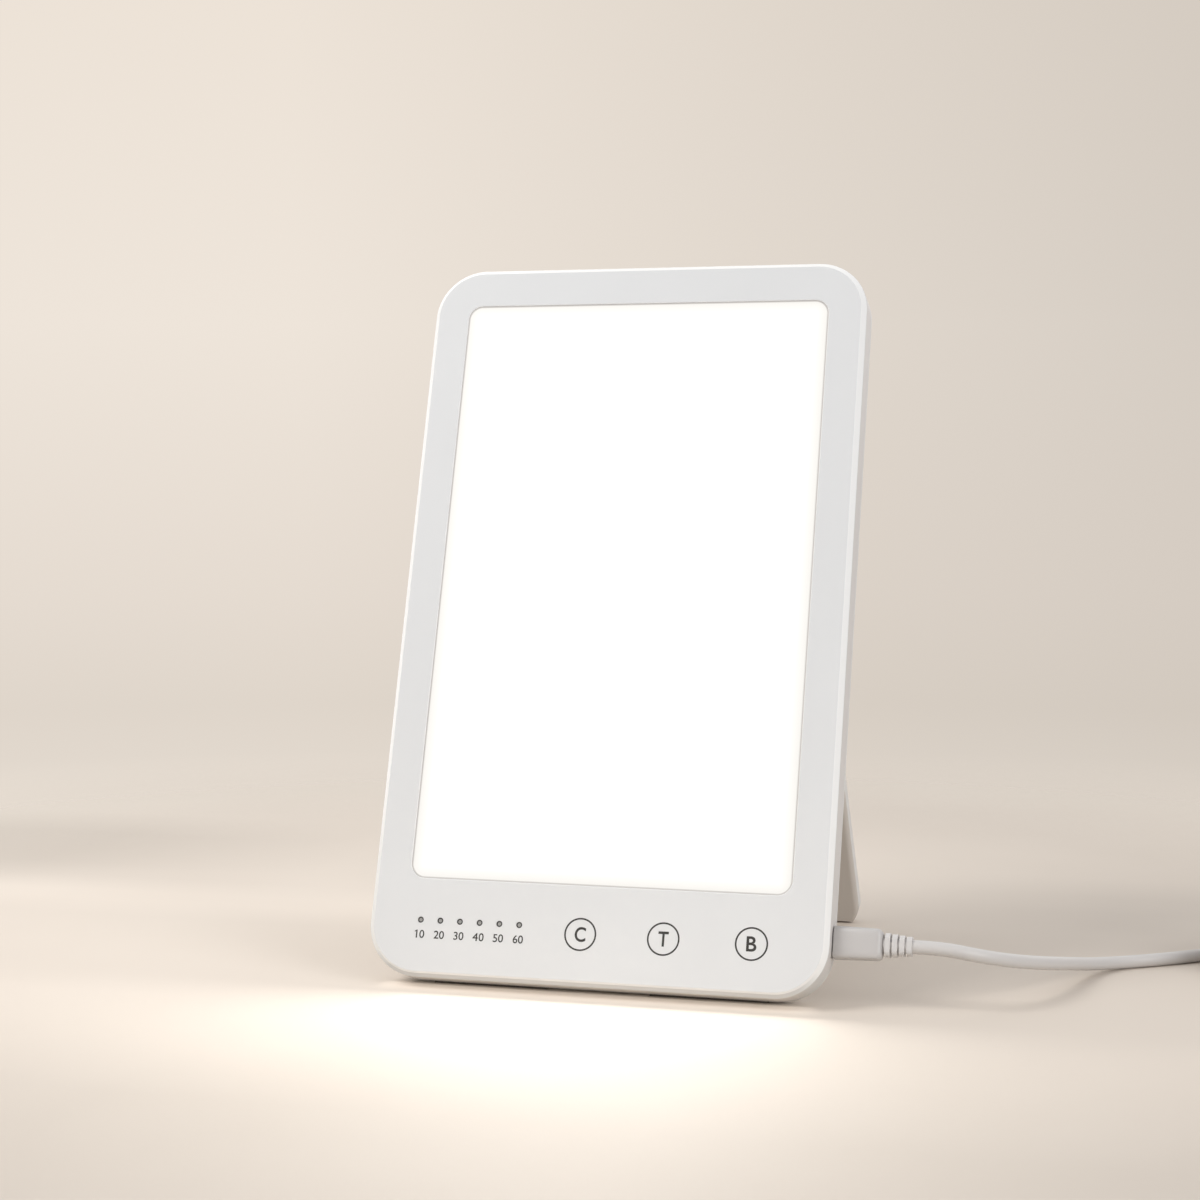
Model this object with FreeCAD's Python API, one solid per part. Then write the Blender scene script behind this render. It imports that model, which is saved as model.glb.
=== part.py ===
import FreeCAD, Part
import math
import os

# A tablet-style light therapy lamp: a slim leaning light panel, a fold-out stand leg behind it and a
# supply lead plugged into its right side wall. Lengths are in millimetres and angles in degrees.
#
# World frame: +Z up, the front faces -Y, +X to the right, the table is z = 0.
# Panel frame: x = u to the right, y = v up the panel from its bottom edge, z = w out of its front face.
# Leg frame: the same three directions while the leg is folded, with the origin on the hinge axis.

Vector = FreeCAD.Vector
X_AXIS = Vector(1, 0, 0)
SIDES = (-1, 1)

# ---------------------------------------------------------------- driving dimensions

# light panel
panel_width = 142.0
panel_height = 230.0
panel_lean = 18.4                # back from the vertical
corner_radius = 16.0
front_chamfer = 1.6
crease_rounding = 0.35
rear_rounding = 4.8
housing_depth = 11.1             # front housing, from the face to the parting line
cover_depth = 5.4                # back cover at its rim
cover_wall = 2.2
face_wall = 2.0
side_wall = 1.8
parting_chamfer = 0.15
lip_gap = 0.15
lip_wall = 1.2
lip_height = 2.0

# window and the optical stack behind it
window_side_margin = 11.8
window_top_margin = 12.9
window_bottom_margin = 29.9
window_radius = 4.5
window_rounding = 0.3
window_gap = 0.12
diffuser_recess = 0.3
diffuser_flange = 2.2            # how far the diffuser reaches behind the face
diffuser_flange_wall = 0.8
guide_thickness = 4.0
reflector_thickness = 0.4
spreader_wall = 1.0
spreader_front_gap = 0.3
led_gap = 0.3
led_height = 0.8
led_width = 3.0
led_length = 5.6
led_pitch = 7.4
strip_wall = 1.0
strip_width = 4.2
strip_tail = 4.5                 # strip board below the guide, where the jumper is soldered
strip_end_gap = 1.5
jumper_wall = 0.3
jumper_width = 3.4
locating_rib_count = 5
locating_rib_inset = 13.5
locating_rib_gap = 0.3
rib_wall = 1.4

# control board, indicator dots and touch keys
board_wall = 1.2
board_front = 9.8                # depth of the board's front surface behind the face
board_height = 16.3
board_left_gap = 9.0             # from the outer side wall
board_right_gap = 2.8
board_corner = 1.0
board_boss_diameter = 4.4
board_boss_inset = 3.0           # below the board's upper edge
first_boss_inset = 33.0          # of the first boss, from the left side wall
last_boss_inset = 14.0           # of the third boss, from the right side wall
dot_count = 6
dot_inset = 16.6                 # of the first dot, from the left side wall
dot_pitch = 6.27
dot_level = 17.1
dot_hole = 1.9
dot_recess = 0.05
guard_tube_gap = 0.05
guard_margin = 2.6
guard_wall = 2.0
pipe_diameter = 1.1
pipe_gap = 0.04
pipe_recess = 0.15
pipe_bar_wall = 1.0
pipe_foot_diameter = 2.0
pipe_led_gap = 0.1
indicator_led_height = 0.7
indicator_led_size = 1.6
first_key_gap = 19.25            # of the first key, from the last dot
key_insets = (49.3, 22.75)       # of the other keys, from the right side wall
key_level = 15.3
pad_diameter = 8.0
chip_size = 7.0
chip_height = 1.0
driver_size = 5.0
driver_height = 1.5
inductor_size = 7.0
inductor_height = 1.6
capacitor_length = 3.2
capacitor_size = 1.6
control_chip_inset = 80.2        # of each part, from the board's right end
driver_inset = 38.2
inductor_inset = 28.2
input_capacitor_inset = 19.2
output_capacitor_inset = 46.2
chip_drop = 1.0                  # below the board's middle
input_capacitor_levels = (0.0, -5.0)
output_capacitor_levels = (2.0, -5.0)

# supply socket in the right wall, and the plug in it
socket_level = 18.0
socket_width = 9.0               # outside, along v
socket_thickness = 3.2           # outside, along w
socket_wall = 0.3
socket_depth = 7.3
socket_setback = 0.8             # of its mouth, from the outer face of the side wall
socket_opening_gap = 0.15
tongue_base = 0.6
tongue_reach = 5.2
tongue_width = 6.7
tongue_wall = 0.7
tip_clearance = 0.06
tip_wall = 0.3
tip_reach = 6.2
plug_gap = 0.3
plug_length = 14.5
plug_width = 9.7
plug_taper = 0.3                 # on each side, over the plug's length
plug_thickness = 6.4
plug_rounding = 1.1

# strain relief and cord
cord_diameter = 4.1
relief_rib_count = 4
relief_rib = 1.5
relief_slot = 0.6
relief_first_width = 7.0
relief_last_width = 5.6
relief_first_thickness = 5.6
relief_last_thickness = 4.9
relief_core_wall = 0.05
relief_bridge = 0.7              # width of the bridges between the first ribs
relief_bridge_setback = 0.3

# screws
case_screw_diameter = 2.6
case_screw_head = 5.0
case_screw_length = 11.0
case_boss_diameter = 5.6
low_boss_side_inset = 11.0
low_boss_inset = 7.0
high_boss_side_inset = 13.0
high_boss_inset = 6.3
small_screw_diameter = 1.8
small_screw_head = 3.4
small_screw_length = 5.0
small_head_height = 1.2
drive_slot = 0.6                 # width of the driver's recess in a screw's head
drive_depth = 0.5
screw_gap = 0.03                 # between a screw or pin and its hole

# hinge on the back
hinge_top_inset = 26.0           # axis below the panel's top edge
leg_gap = 0.45                   # between the folded leg and the back cover
ear_gap = 0.6
ear_wall = 5.0
ear_radius = 4.6
pin_diameter = 3.0
pin_inner_reach = 9.5
pin_head_diameter = 4.6
pin_head_height = 0.8
bush_diameter = 5.0
bush_length = 10.0
bush_clearance = 0.05
washer_diameter = 6.4
washer_wall = 0.4
heel_reach = 6.5
heel_wall = 1.6
heel_gap = 0.15

# stand leg
leg_tilt = 16.4                  # of the open leg, from the vertical
leg_thickness = 8.5
leg_foot_half_width = 59.4
leg_top_half_width = 45.5
leg_foot_radius = 8.0
leg_shoulder_radius = 4.0
leg_shoulder_step = 4.9          # from the full width in to the hinge barrel
leg_shoulder_gap = 1.9           # between the ears and the full width
leg_neck_overlap = 2.5
leg_outer_part = 5.5             # of the thickness; the rest is the inner shell
leg_wall = 1.8
leg_side_wall = 1.6
leg_inner_wall = 1.5
leg_rounding = 1.4
leg_solid_end = 6.0
leg_rib_wall = 1.2
leg_cross_ribs = 4
leg_long_rib_place = 22.0
leg_boss_diameter = 5.0
leg_boss_inset = 12.0
neck_gap = 0.1
foot_pad_proud = 0.6
foot_pad_depth = 1.6             # set into the leg's end
foot_pad_width = 4.0
foot_pad_inset = 14.1

# feet of the panel, and bumpers for the folded leg
base_foot_proud = 0.25
base_foot_depth = 1.5
base_foot_width = 3.2
base_foot_length = 36.0
base_foot_place = 34.0           # centre, from the middle
bumper_diameter = 7.0
bumper_depth = 0.8
bumper_clearance = 0.1           # under the folded leg
bumper_place = 40.0
bumper_level = 24.0

# press ribs and vent slots of the back cover
press_rib_count = 3
press_rib_inset = 7.0
vent_count = 9
vent_pitch = 5.0
vent_width = 1.6
vent_length = 7.0
vent_top_inset = 12.5

# coil of the lead, its tie and the far plug
coil_x = 207.0
coil_y = 26.0
coil_middle_radius = 24.6
coil_columns = 2
coil_layers = 4
coil_lift = 0.9
coil_rounding = 1.6
coil_gap = 0.1                   # between the coil and the tubes that reach it
coil_setback = 8.0               # of a tube's end, from where its run touches the turns
tie_wall = 0.8
tie_width = 7.0
tie_gap = 0.1
tie_reach = 2.0                  # of the block that cuts out the tie, past the tie
far_relief_length = 9.0
far_relief_wall = 0.5
far_relief_end = 6.4
far_plug_length = 25.0
far_plug_width = 15.0
far_plug_height = 7.2
far_plug_rounding = 1.4
far_shell_length = 13.5
far_shell_width = 12.0
far_shell_height = 4.5
far_shell_wall = 0.35
far_window_size = 2.2
far_window_place = 2.6           # from the shell's middle
far_window_setback = 5.0         # of the windows' middle, from the shell's mouth
far_block_height = 1.8
far_block_setback = 1.0

# ---------------------------------------------------------------- values that follow

panel_depth = housing_depth + cover_depth
half_width = panel_width / 2
wall_face = half_width - side_wall
lip_inset = side_wall + lip_gap + lip_wall
flange_back = face_wall + diffuser_flange_wall
guide_back = flange_back + guide_thickness
reflector_back = guide_back + reflector_thickness
spreader_back = reflector_back + spreader_wall
cover_floor = panel_depth - cover_wall

window_low = window_bottom_margin
window_high = panel_height - window_top_margin
window_half = half_width - window_side_margin
guide_half = window_half + diffuser_flange
guide_low = window_low - diffuser_flange
guide_high = window_high + diffuser_flange
led_face = guide_half + led_gap
strip_face = led_face + led_height
strip_back = strip_face + strip_wall
spreader_half = strip_back + spreader_wall
strip_level = -(flange_back + guide_thickness / 2)
strip_low = guide_low - strip_tail

board_back = board_front + board_wall
board_end = half_width - board_right_gap
board_high = strip_low + jumper_width
board_low = board_high - board_height
board_boss_level = board_high - board_boss_inset
dot_places = [dot_inset - half_width + index * dot_pitch for index in range(dot_count)]
key_places = [dot_places[-1] + first_key_gap] + [half_width - inset for inset in key_insets]
middle_boss = (key_places[0] + key_places[1]) / 2
board_bosses = [first_boss_inset - half_width, middle_boss, half_width - last_boss_inset]
guard_back = face_wall + guard_wall
socket_axis = board_front - socket_thickness / 2
socket_mouth = half_width - socket_setback
socket_floor = socket_mouth - socket_depth + socket_wall
socket_inner_width = socket_width - 2 * socket_wall
socket_inner_thickness = socket_thickness - 2 * socket_wall
plug_start = half_width + plug_gap
plug_end = plug_start + plug_length
relief_end = plug_end + relief_rib_count * (relief_rib + relief_slot)

lean_sine = math.sin(math.radians(panel_lean))
lean_cosine = math.cos(math.radians(panel_lean))
tilt_sine = math.sin(math.radians(leg_tilt))
tilt_cosine = math.cos(math.radians(leg_tilt))

# The panel stands on the arc of its rear bottom edge, held off the table by its feet.
edge_height = base_foot_proud + rear_rounding - (
    rear_rounding * lean_cosine - (panel_depth - rear_rounding) * lean_sine)
leg_half = leg_thickness / 2
leg_split = leg_outer_part - leg_half
hinge_level = panel_height - hinge_top_inset
hinge_offset = leg_gap + leg_half
hinge_depth = panel_depth + hinge_offset
hinge_y = hinge_level * lean_sine + hinge_depth * lean_cosine
hinge_z = edge_height + hinge_level * lean_cosine - hinge_depth * lean_sine
leg_length = hinge_z / tilt_cosine
leg_swing = panel_lean + leg_tilt
leg_shoulder = ear_radius + leg_shoulder_gap
leg_neck = leg_shoulder + leg_neck_overlap
leg_end = leg_length + leg_half * tilt_sine / tilt_cosine
barrel_half = leg_top_half_width - leg_shoulder_step
ear_inner = barrel_half + ear_gap
ear_outer = ear_inner + ear_wall
bumper_proud = leg_gap - bumper_clearance


# ---------------------------------------------------------------- shape helpers

def box(x_low, x_high, y_low, y_high, z_low, z_high):
    return Part.makeBox(x_high - x_low, y_high - y_low, z_high - z_low, Vector(x_low, y_low, z_low))


def side_box(side, x_near, x_far, y_low, y_high, z_low, z_high):
    """A box on the left or the right, between two distances from the middle."""
    ends = sorted((side * x_near, side * x_far))
    return box(ends[0], ends[1], y_low, y_high, z_low, z_high)


def post(x, y, diameter, z_low, z_high):
    return Part.makeCylinder(diameter / 2, z_high - z_low, Vector(x, y, z_low))


def rod(y, z, diameter, x_low, x_high):
    return Part.makeCylinder(diameter / 2, x_high - x_low, Vector(x_low, y, z), X_AXIS)


def side_rod(side, y, z, diameter, x_near, x_far):
    ends = sorted((side * x_near, side * x_far))
    return rod(y, z, diameter, ends[0], ends[1])


def union(shapes):
    whole = shapes[0]
    for shape in shapes[1:]:
        whole = whole.fuse(shape)
    return whole.removeSplitter()


def cut_all(shape, tools):
    for tool in tools:
        shape = shape.cut(tool)
    return shape


def group(shapes):
    return Part.makeCompound(shapes)


def upright_edges(shape):
    """The straight edges that run along the local z axis."""
    found = []
    for edge in shape.Edges:
        ends = [vertex.Point for vertex in edge.Vertexes]
        if len(ends) == 2 and (ends[0] - ends[1]).cross(Vector(0, 0, 1)).Length < 1e-6:
            found.append(edge)
    return found


def edges_at_level(shape, level):
    """The edges that lie in the plane z = level."""
    return [edge for edge in shape.Edges
            if abs(edge.BoundBox.ZMin - level) < 1e-4 and abs(edge.BoundBox.ZMax - level) < 1e-4]


def rounded_plate(x_half, y_low, y_high, radius, z_low, z_high):
    plate = box(-x_half, x_half, y_low, y_high, z_low, z_high)
    return plate.makeFillet(radius, upright_edges(plate))


def panel_plate(inset, w_back, w_front):
    """A plate with the panel's outline, smaller all round by inset."""
    return rounded_plate(half_width - inset, inset, panel_height - inset, corner_radius - inset,
                         w_back, w_front)


def capsule(y, z, width, thickness, x_low, x_high):
    """A bar along x with a round-ended section, wide along y."""
    reach = (width - thickness) / 2
    middle = box(x_low, x_high, y - reach, y + reach, z - thickness / 2, z + thickness / 2)
    return union([middle] + [rod(y + side * reach, z, thickness, x_low, x_high) for side in SIDES])


def countersunk_screw(x, y, head_face, diameter, head, length):
    """A screw along +z with a flat head, whose face with its cross recess is at z = head_face."""
    head_height = (head - diameter) / 2
    cone = Part.makeCone(head / 2, diameter / 2, head_height, Vector(x, y, head_face))
    shank = post(x, y, diameter, head_face + head_height, head_face + length)
    arm = head / 4
    half_slot = drive_slot / 2
    floor = head_face + drive_depth
    cross = [box(x - arm, x + arm, y - half_slot, y + half_slot, head_face, floor),
             box(x - half_slot, x + half_slot, y - arm, y + arm, head_face, floor)]
    return cut_all(union([cone, shank]), cross)


def countersunk_hole(x, y, head_face, diameter, head, length):
    """The hole for the screw of the same sizes."""
    head_height = (head - diameter) / 2
    cone = Part.makeCone(head / 2 + screw_gap, diameter / 2 + screw_gap, head_height, Vector(x, y, head_face))
    bore = post(x, y, diameter + 2 * screw_gap, head_face, head_face + length + screw_gap)
    return union([cone, bore])


# ---------------------------------------------------------------- places

panel_place = FreeCAD.Placement(Vector(0, 0, edge_height), FreeCAD.Rotation(X_AXIS, 90 - panel_lean))
leg_place = FreeCAD.Placement(Vector(0, hinge_y, hinge_z), FreeCAD.Rotation(X_AXIS, 90 + leg_tilt))


def placed(shape, place):
    moved = shape.copy()
    moved.Placement = place.multiply(shape.Placement)
    return moved


def case_screw_places():
    places = []
    for side in SIDES:
        places.append((side * (half_width - low_boss_side_inset), low_boss_inset))
        places.append((side * (half_width - high_boss_side_inset), panel_height - high_boss_inset))
    return places


def base_foot_block(side, gap):
    """A foot of the panel, upright in the world, round the line on which the panel would stand."""
    contact_v = rear_rounding - rear_rounding * lean_cosine
    contact_w = -(panel_depth - rear_rounding) - rear_rounding * lean_sine
    contact = panel_place.multVec(Vector(0, contact_v, contact_w))
    half_foot = base_foot_width / 2 + gap
    half_length = base_foot_length / 2 + gap
    return side_box(side, base_foot_place - half_length, base_foot_place + half_length,
                    contact.y - half_foot, contact.y + half_foot,
                    0, base_foot_proud + base_foot_depth + gap)


def foot_pad_block(gap):
    """The rubber pad of the leg, upright in the world, under the middle of the leg's end."""
    middle = hinge_y + leg_length * tilt_sine
    half_length = leg_foot_half_width - foot_pad_inset + gap
    half_pad = foot_pad_width / 2 + gap
    return box(-half_length, half_length, middle - half_pad, middle + half_pad,
               0, foot_pad_proud + foot_pad_depth + gap)


# ---------------------------------------------------------------- light panel

def locating_ribs():
    """Ribs on the side walls that keep the light guide and its pan in the middle."""
    first = guide_low + locating_rib_inset
    spacing = (guide_high - guide_low - 2 * locating_rib_inset) / (locating_rib_count - 1)
    ribs = []
    for side in SIDES:
        for index in range(locating_rib_count):
            v = first + index * spacing
            ribs.append(side_box(side, spreader_half + locating_rib_gap, half_width - side_wall / 2,
                                 v - rib_wall / 2, v + rib_wall / 2, -spreader_back, -face_wall))
    return ribs


def housing_outside():
    outside = panel_plate(0, -housing_depth, 0)
    outside = outside.makeChamfer(front_chamfer, edges_at_level(outside, 0))
    creases = edges_at_level(outside, 0) + edges_at_level(outside, -front_chamfer)
    outside = outside.makeFillet(crease_rounding, creases)
    return outside.makeChamfer(parting_chamfer, edges_at_level(outside, -housing_depth))


def window_edges(edges):
    found = []
    for edge in edges:
        extent = edge.BoundBox
        across = max(-extent.XMin, extent.XMax) < window_half + window_gap
        if across and extent.YMin > window_low - window_gap and extent.YMax < window_high + window_gap:
            found.append(edge)
    return found


def front_housing():
    """The deep front moulding: face with the window, chamfered rim, side walls and bosses."""
    shell = housing_outside().cut(panel_plate(side_wall, -housing_depth, -face_wall))
    shell = shell.cut(rounded_plate(window_half, window_low, window_high, window_radius, -face_wall, 0))
    shell = shell.makeFillet(window_rounding, window_edges(edges_at_level(shell, 0)))
    case_bosses = [post(u, v, case_boss_diameter, -housing_depth, -face_wall) for u, v in case_screw_places()]
    board_posts = [post(u, board_boss_level, board_boss_diameter, -board_front, -face_wall)
                   for u in board_bosses]
    housing = union([shell] + case_bosses + board_posts + locating_ribs())
    screw_top = -panel_depth + case_screw_length + screw_gap
    holes = [post(u, v, case_screw_diameter + 2 * screw_gap, -housing_depth, screw_top)
             for u, v in case_screw_places()]
    holes += [post(u, board_boss_level, small_screw_diameter + 2 * screw_gap,
                   -board_front, -board_front + small_screw_length + screw_gap) for u in board_bosses]
    holes += [post(u, dot_level, dot_hole, -face_wall, 0) for u in dot_places]
    holes.append(capsule(socket_level, -socket_axis, socket_width + 2 * socket_opening_gap,
                         socket_thickness + 2 * socket_opening_gap, wall_face - side_wall, half_width))
    return cut_all(housing, holes)


def diffuser_panel():
    """Opal sheet: its middle stands in the window and its flange lies behind the face."""
    raised = rounded_plate(window_half - window_gap, window_low + window_gap, window_high - window_gap,
                           window_radius - window_gap, -face_wall, -diffuser_recess)
    flange = rounded_plate(guide_half, guide_low, guide_high, window_radius, -flange_back, -face_wall)
    return union([raised, flange])


def guide_sheet(w_back, w_front):
    return box(-guide_half, guide_half, guide_low, guide_high, w_back, w_front)


def heat_spreader():
    """An aluminium pan: its back presses on the reflector and its flanges carry the LED strips."""
    back = box(-spreader_half, spreader_half, guide_low, guide_high, -spreader_back, -reflector_back)
    flanges = [side_box(side, strip_back, spreader_half, guide_low, guide_high,
                        -reflector_back, -face_wall - spreader_front_gap) for side in SIDES]
    return union([back] + flanges)


def led_strip_boards():
    return group([side_box(side, strip_face, strip_back, strip_low, guide_high - strip_end_gap,
                           strip_level - strip_width / 2, strip_level + strip_width / 2) for side in SIDES])


def strip_leds():
    count = int((guide_high - guide_low - 2 * strip_end_gap) / led_pitch)
    first = (guide_low + guide_high) / 2 - (count - 1) * led_pitch / 2
    leds = []
    for side in SIDES:
        for index in range(count):
            v = first + index * led_pitch
            leds.append(side_box(side, led_face, strip_face, v - led_length / 2, v + led_length / 2,
                                 strip_level - led_width / 2, strip_level + led_width / 2))
    return group(leds)


def led_jumpers():
    """Flat jumpers from the tails of the LED strips to the front of the control board."""
    return group([side_box(side, strip_back, strip_back + jumper_wall, strip_low, strip_low + jumper_width,
                           -board_front, strip_level + strip_width / 2) for side in SIDES])


def control_board():
    board = box(-half_width + board_left_gap, board_end, board_low, board_high,
                -board_back, -board_front)
    board = board.makeFillet(board_corner, upright_edges(board))
    return cut_all(board, [post(u, board_boss_level, small_screw_diameter + 2 * screw_gap,
                                -board_back, -board_front) for u in board_bosses])


def board_screw(u):
    head_face = -board_back - small_head_height
    head = post(u, board_boss_level, small_screw_head, head_face, -board_back)
    shank = post(u, board_boss_level, small_screw_diameter, -board_back, -board_front + small_screw_length)
    slot = box(u - small_screw_head, u + small_screw_head, board_boss_level - drive_slot / 2,
               board_boss_level + drive_slot / 2, head_face, head_face + drive_depth)
    return union([head, shank]).cut(slot)


def chip(u, v, width, height, thickness):
    """A component soldered on the rear of the control board, placed from the board's middle level."""
    level = (board_low + board_high) / 2 + v
    return box(u - width / 2, u + width / 2, level - height / 2, level + height / 2,
               -board_back - thickness, -board_back)


def control_chips():
    return group([chip(board_end - control_chip_inset, -chip_drop, chip_size, chip_size, chip_height),
                  chip(board_end - driver_inset, -chip_drop, driver_size, driver_size, driver_height)])


def driver_inductor():
    core = chip(board_end - inductor_inset, -chip_drop, inductor_size, inductor_size, inductor_height)
    return core.makeFillet(inductor_size / 6, upright_edges(core))


def board_capacitors():
    places = [(board_end - input_capacitor_inset, v) for v in input_capacitor_levels]
    places += [(board_end - output_capacitor_inset, v) for v in output_capacitor_levels]
    return group([chip(u, v, capacitor_length, capacitor_size, capacitor_size) for u, v in places])


def touch_pads():
    return group([post(u, key_level, pad_diameter, -board_front, -face_wall) for u in key_places])


def dot_bar(w_back, w_front):
    """A bar behind the face that spans all the indicator dots."""
    return box(dot_places[0] - guard_margin, dot_places[-1] + guard_margin,
               dot_level - guard_margin, dot_level + guard_margin, w_back, w_front)


def indicator_guard():
    """A black block behind the face, with a short tube in each dot's hole."""
    tubes = [post(u, dot_level, dot_hole - 2 * guard_tube_gap, -guard_back, -dot_recess) for u in dot_places]
    bores = [post(u, dot_level, pipe_diameter + 2 * pipe_gap, -guard_back, 0) for u in dot_places]
    return cut_all(union([dot_bar(-guard_back, -face_wall)] + tubes), bores)


def indicator_light_pipes():
    """Six clear pins on one bar, from the indicator LEDs to the face."""
    bar_back = guard_back + pipe_bar_wall
    led_front = -board_front + indicator_led_height + pipe_led_gap
    pieces = [dot_bar(-bar_back, -guard_back)]
    for u in dot_places:
        pieces.append(post(u, dot_level, pipe_diameter, -guard_back, -pipe_recess))
        pieces.append(post(u, dot_level, pipe_foot_diameter, led_front, -bar_back))
    return union(pieces)


def indicator_leds():
    half = indicator_led_size / 2
    return group([box(u - half, u + half, dot_level - half / 2, dot_level + half / 2,
                      -board_front, -board_front + indicator_led_height) for u in dot_places])


def supply_socket():
    shell = capsule(socket_level, -socket_axis, socket_width, socket_thickness,
                    socket_floor - socket_wall, socket_mouth)
    return shell.cut(capsule(socket_level, -socket_axis, socket_inner_width, socket_inner_thickness,
                             socket_floor, socket_mouth))


def socket_tongue():
    """The insulating tongue that stands in the middle of the socket."""
    base = capsule(socket_level, -socket_axis, socket_inner_width, socket_inner_thickness,
                   socket_floor, socket_floor + tongue_base)
    tongue = box(socket_floor, socket_floor + tongue_reach,
                 socket_level - tongue_width / 2, socket_level + tongue_width / 2,
                 -socket_axis - tongue_wall / 2, -socket_axis + tongue_wall / 2)
    return union([base, tongue])


# ---------------------------------------------------------------- back cover and its small parts

def hinge_ear(side):
    lug = side_rod(side, hinge_level, -hinge_depth, 2 * ear_radius, ear_inner, ear_outer)
    root = side_box(side, ear_inner, ear_outer, hinge_level - ear_radius, hinge_level + ear_radius,
                    -hinge_depth, -panel_depth + cover_wall / 2)
    return union([lug, root])


def cover_lip():
    """The lip that enters the front housing, cut away round the case bosses and the board."""
    top = -housing_depth + lip_height
    ring = panel_plate(side_wall + lip_gap, -housing_depth, top)
    ring = ring.cut(panel_plate(lip_inset, -housing_depth, top))
    board_room = box(half_width - corner_radius, half_width, board_low - lip_gap, board_high + lip_gap,
                     -housing_depth, top)
    boss_rooms = [post(u, v, case_boss_diameter + 2 * lip_gap, -housing_depth, top)
                  for u, v in case_screw_places()]
    return cut_all(ring, boss_rooms + [board_room])


def press_ribs():
    """Ribs that press the optical stack against the face."""
    half = guide_half - press_rib_inset
    spacing = (guide_high - guide_low) / (press_rib_count + 1)
    levels = [guide_low + (index + 1) * spacing for index in range(press_rib_count)]
    return [box(-half, half, v - rib_wall / 2, v + rib_wall / 2, -cover_floor, -spreader_back)
            for v in levels]


def vent_slots():
    level = panel_height - vent_top_inset
    slots = []
    for index in range(vent_count):
        u = (index - (vent_count - 1) / 2) * vent_pitch
        slot = box(u - vent_width / 2, u + vent_width / 2, level - vent_length / 2, level + vent_length / 2,
                   -panel_depth, -cover_floor)
        slots.append(slot.makeFillet(vent_width * 0.45, upright_edges(slot)))
    return slots


def back_cover():
    outside = panel_plate(0, -panel_depth, -housing_depth)
    outside = outside.makeFillet(rear_rounding, edges_at_level(outside, -panel_depth))
    outside = outside.makeChamfer(parting_chamfer, edges_at_level(outside, -housing_depth))
    tray = outside.cut(panel_plate(lip_inset, -cover_floor, -housing_depth))
    case_bosses = [post(u, v, case_boss_diameter, -cover_floor, -housing_depth)
                   for u, v in case_screw_places()]
    cover = union([tray, cover_lip()] + press_ribs() + case_bosses + [hinge_ear(side) for side in SIDES])
    holes = [countersunk_hole(u, v, -panel_depth, case_screw_diameter, case_screw_head, case_screw_length)
             for u, v in case_screw_places()]
    for side in SIDES:
        holes.append(side_rod(side, hinge_level, -hinge_depth, pin_diameter + 2 * screw_gap,
                              ear_inner, ear_outer))
        holes.append(post(side * bumper_place, bumper_level, bumper_diameter + 2 * screw_gap,
                          -panel_depth, -panel_depth + bumper_depth))
    cover = placed(cut_all(cover, holes + vent_slots()), panel_place)
    return cut_all(cover, [base_foot_block(side, screw_gap) for side in SIDES])


def case_screws():
    return group([countersunk_screw(u, v, -panel_depth, case_screw_diameter, case_screw_head,
                                    case_screw_length) for u, v in case_screw_places()])


def back_bumpers():
    return group([post(side * bumper_place, bumper_level, bumper_diameter,
                       -panel_depth - bumper_proud, -panel_depth + bumper_depth) for side in SIDES])


def hinge_pin(side):
    shank = side_rod(side, hinge_level, -hinge_depth, pin_diameter,
                     barrel_half - pin_inner_reach, ear_outer)
    head = side_rod(side, hinge_level, -hinge_depth, pin_head_diameter,
                    ear_outer, ear_outer + pin_head_height)
    return union([shank, head])


def hinge_washer(side):
    near = barrel_half + (ear_gap - washer_wall) / 2
    disc = side_rod(side, hinge_level, -hinge_depth, washer_diameter, near, near + washer_wall)
    return disc.cut(side_rod(side, hinge_level, -hinge_depth, pin_diameter + 2 * bush_clearance,
                             near, near + washer_wall))


# ---------------------------------------------------------------- stand leg

def leg_half_width(level):
    """Half of the leg's width at a level of the leg frame, which falls from 0 at the hinge."""
    share = (-level - leg_shoulder) / (leg_end - leg_shoulder)
    return leg_top_half_width + share * (leg_foot_half_width - leg_top_half_width)


def leg_plate(inset, foot_inset, shoulder_inset, z_low, z_high):
    """A plate with the leg's tapered outline, its foot's corners and its shoulders rounded."""
    top = -leg_shoulder - shoulder_inset
    foot = -leg_end + foot_inset
    top_half = leg_half_width(top) - inset
    foot_half = leg_half_width(foot) - inset
    corners = [Vector(-foot_half, foot, z_low), Vector(foot_half, foot, z_low),
               Vector(top_half, top, z_low), Vector(-top_half, top, z_low)]
    outline = Part.makePolygon(corners + corners[:1])
    plate = Part.Face(outline).extrude(Vector(0, 0, z_high - z_low))
    foot_edges = [edge for edge in upright_edges(plate) if edge.BoundBox.YMax < foot + 0.1]
    plate = plate.makeFillet(leg_foot_radius - inset, foot_edges)
    top_edges = [edge for edge in upright_edges(plate) if edge.BoundBox.YMin > top - 0.1]
    return plate.makeFillet(leg_shoulder_radius - inset, top_edges)


def leg_hollow(z_low, z_high):
    shoulder_inset = leg_neck + leg_side_wall - leg_shoulder
    return leg_plate(leg_side_wall, leg_solid_end, shoulder_inset, z_low, z_high)


def leg_screw_places():
    places = []
    for level in (-leg_neck - leg_boss_inset, -leg_length + leg_solid_end + leg_boss_inset):
        for side in SIDES:
            places.append((side * (leg_half_width(level) - leg_boss_inset), level))
    return places


def trimmed_at_table(shape):
    """The placed leg piece, cut level above the table and grooved for the foot pad."""
    below = box(-panel_width, panel_width, hinge_y, hinge_y + leg_length, -leg_thickness, foot_pad_proud)
    return placed(shape, leg_place).cut(below).cut(foot_pad_block(screw_gap))


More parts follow.
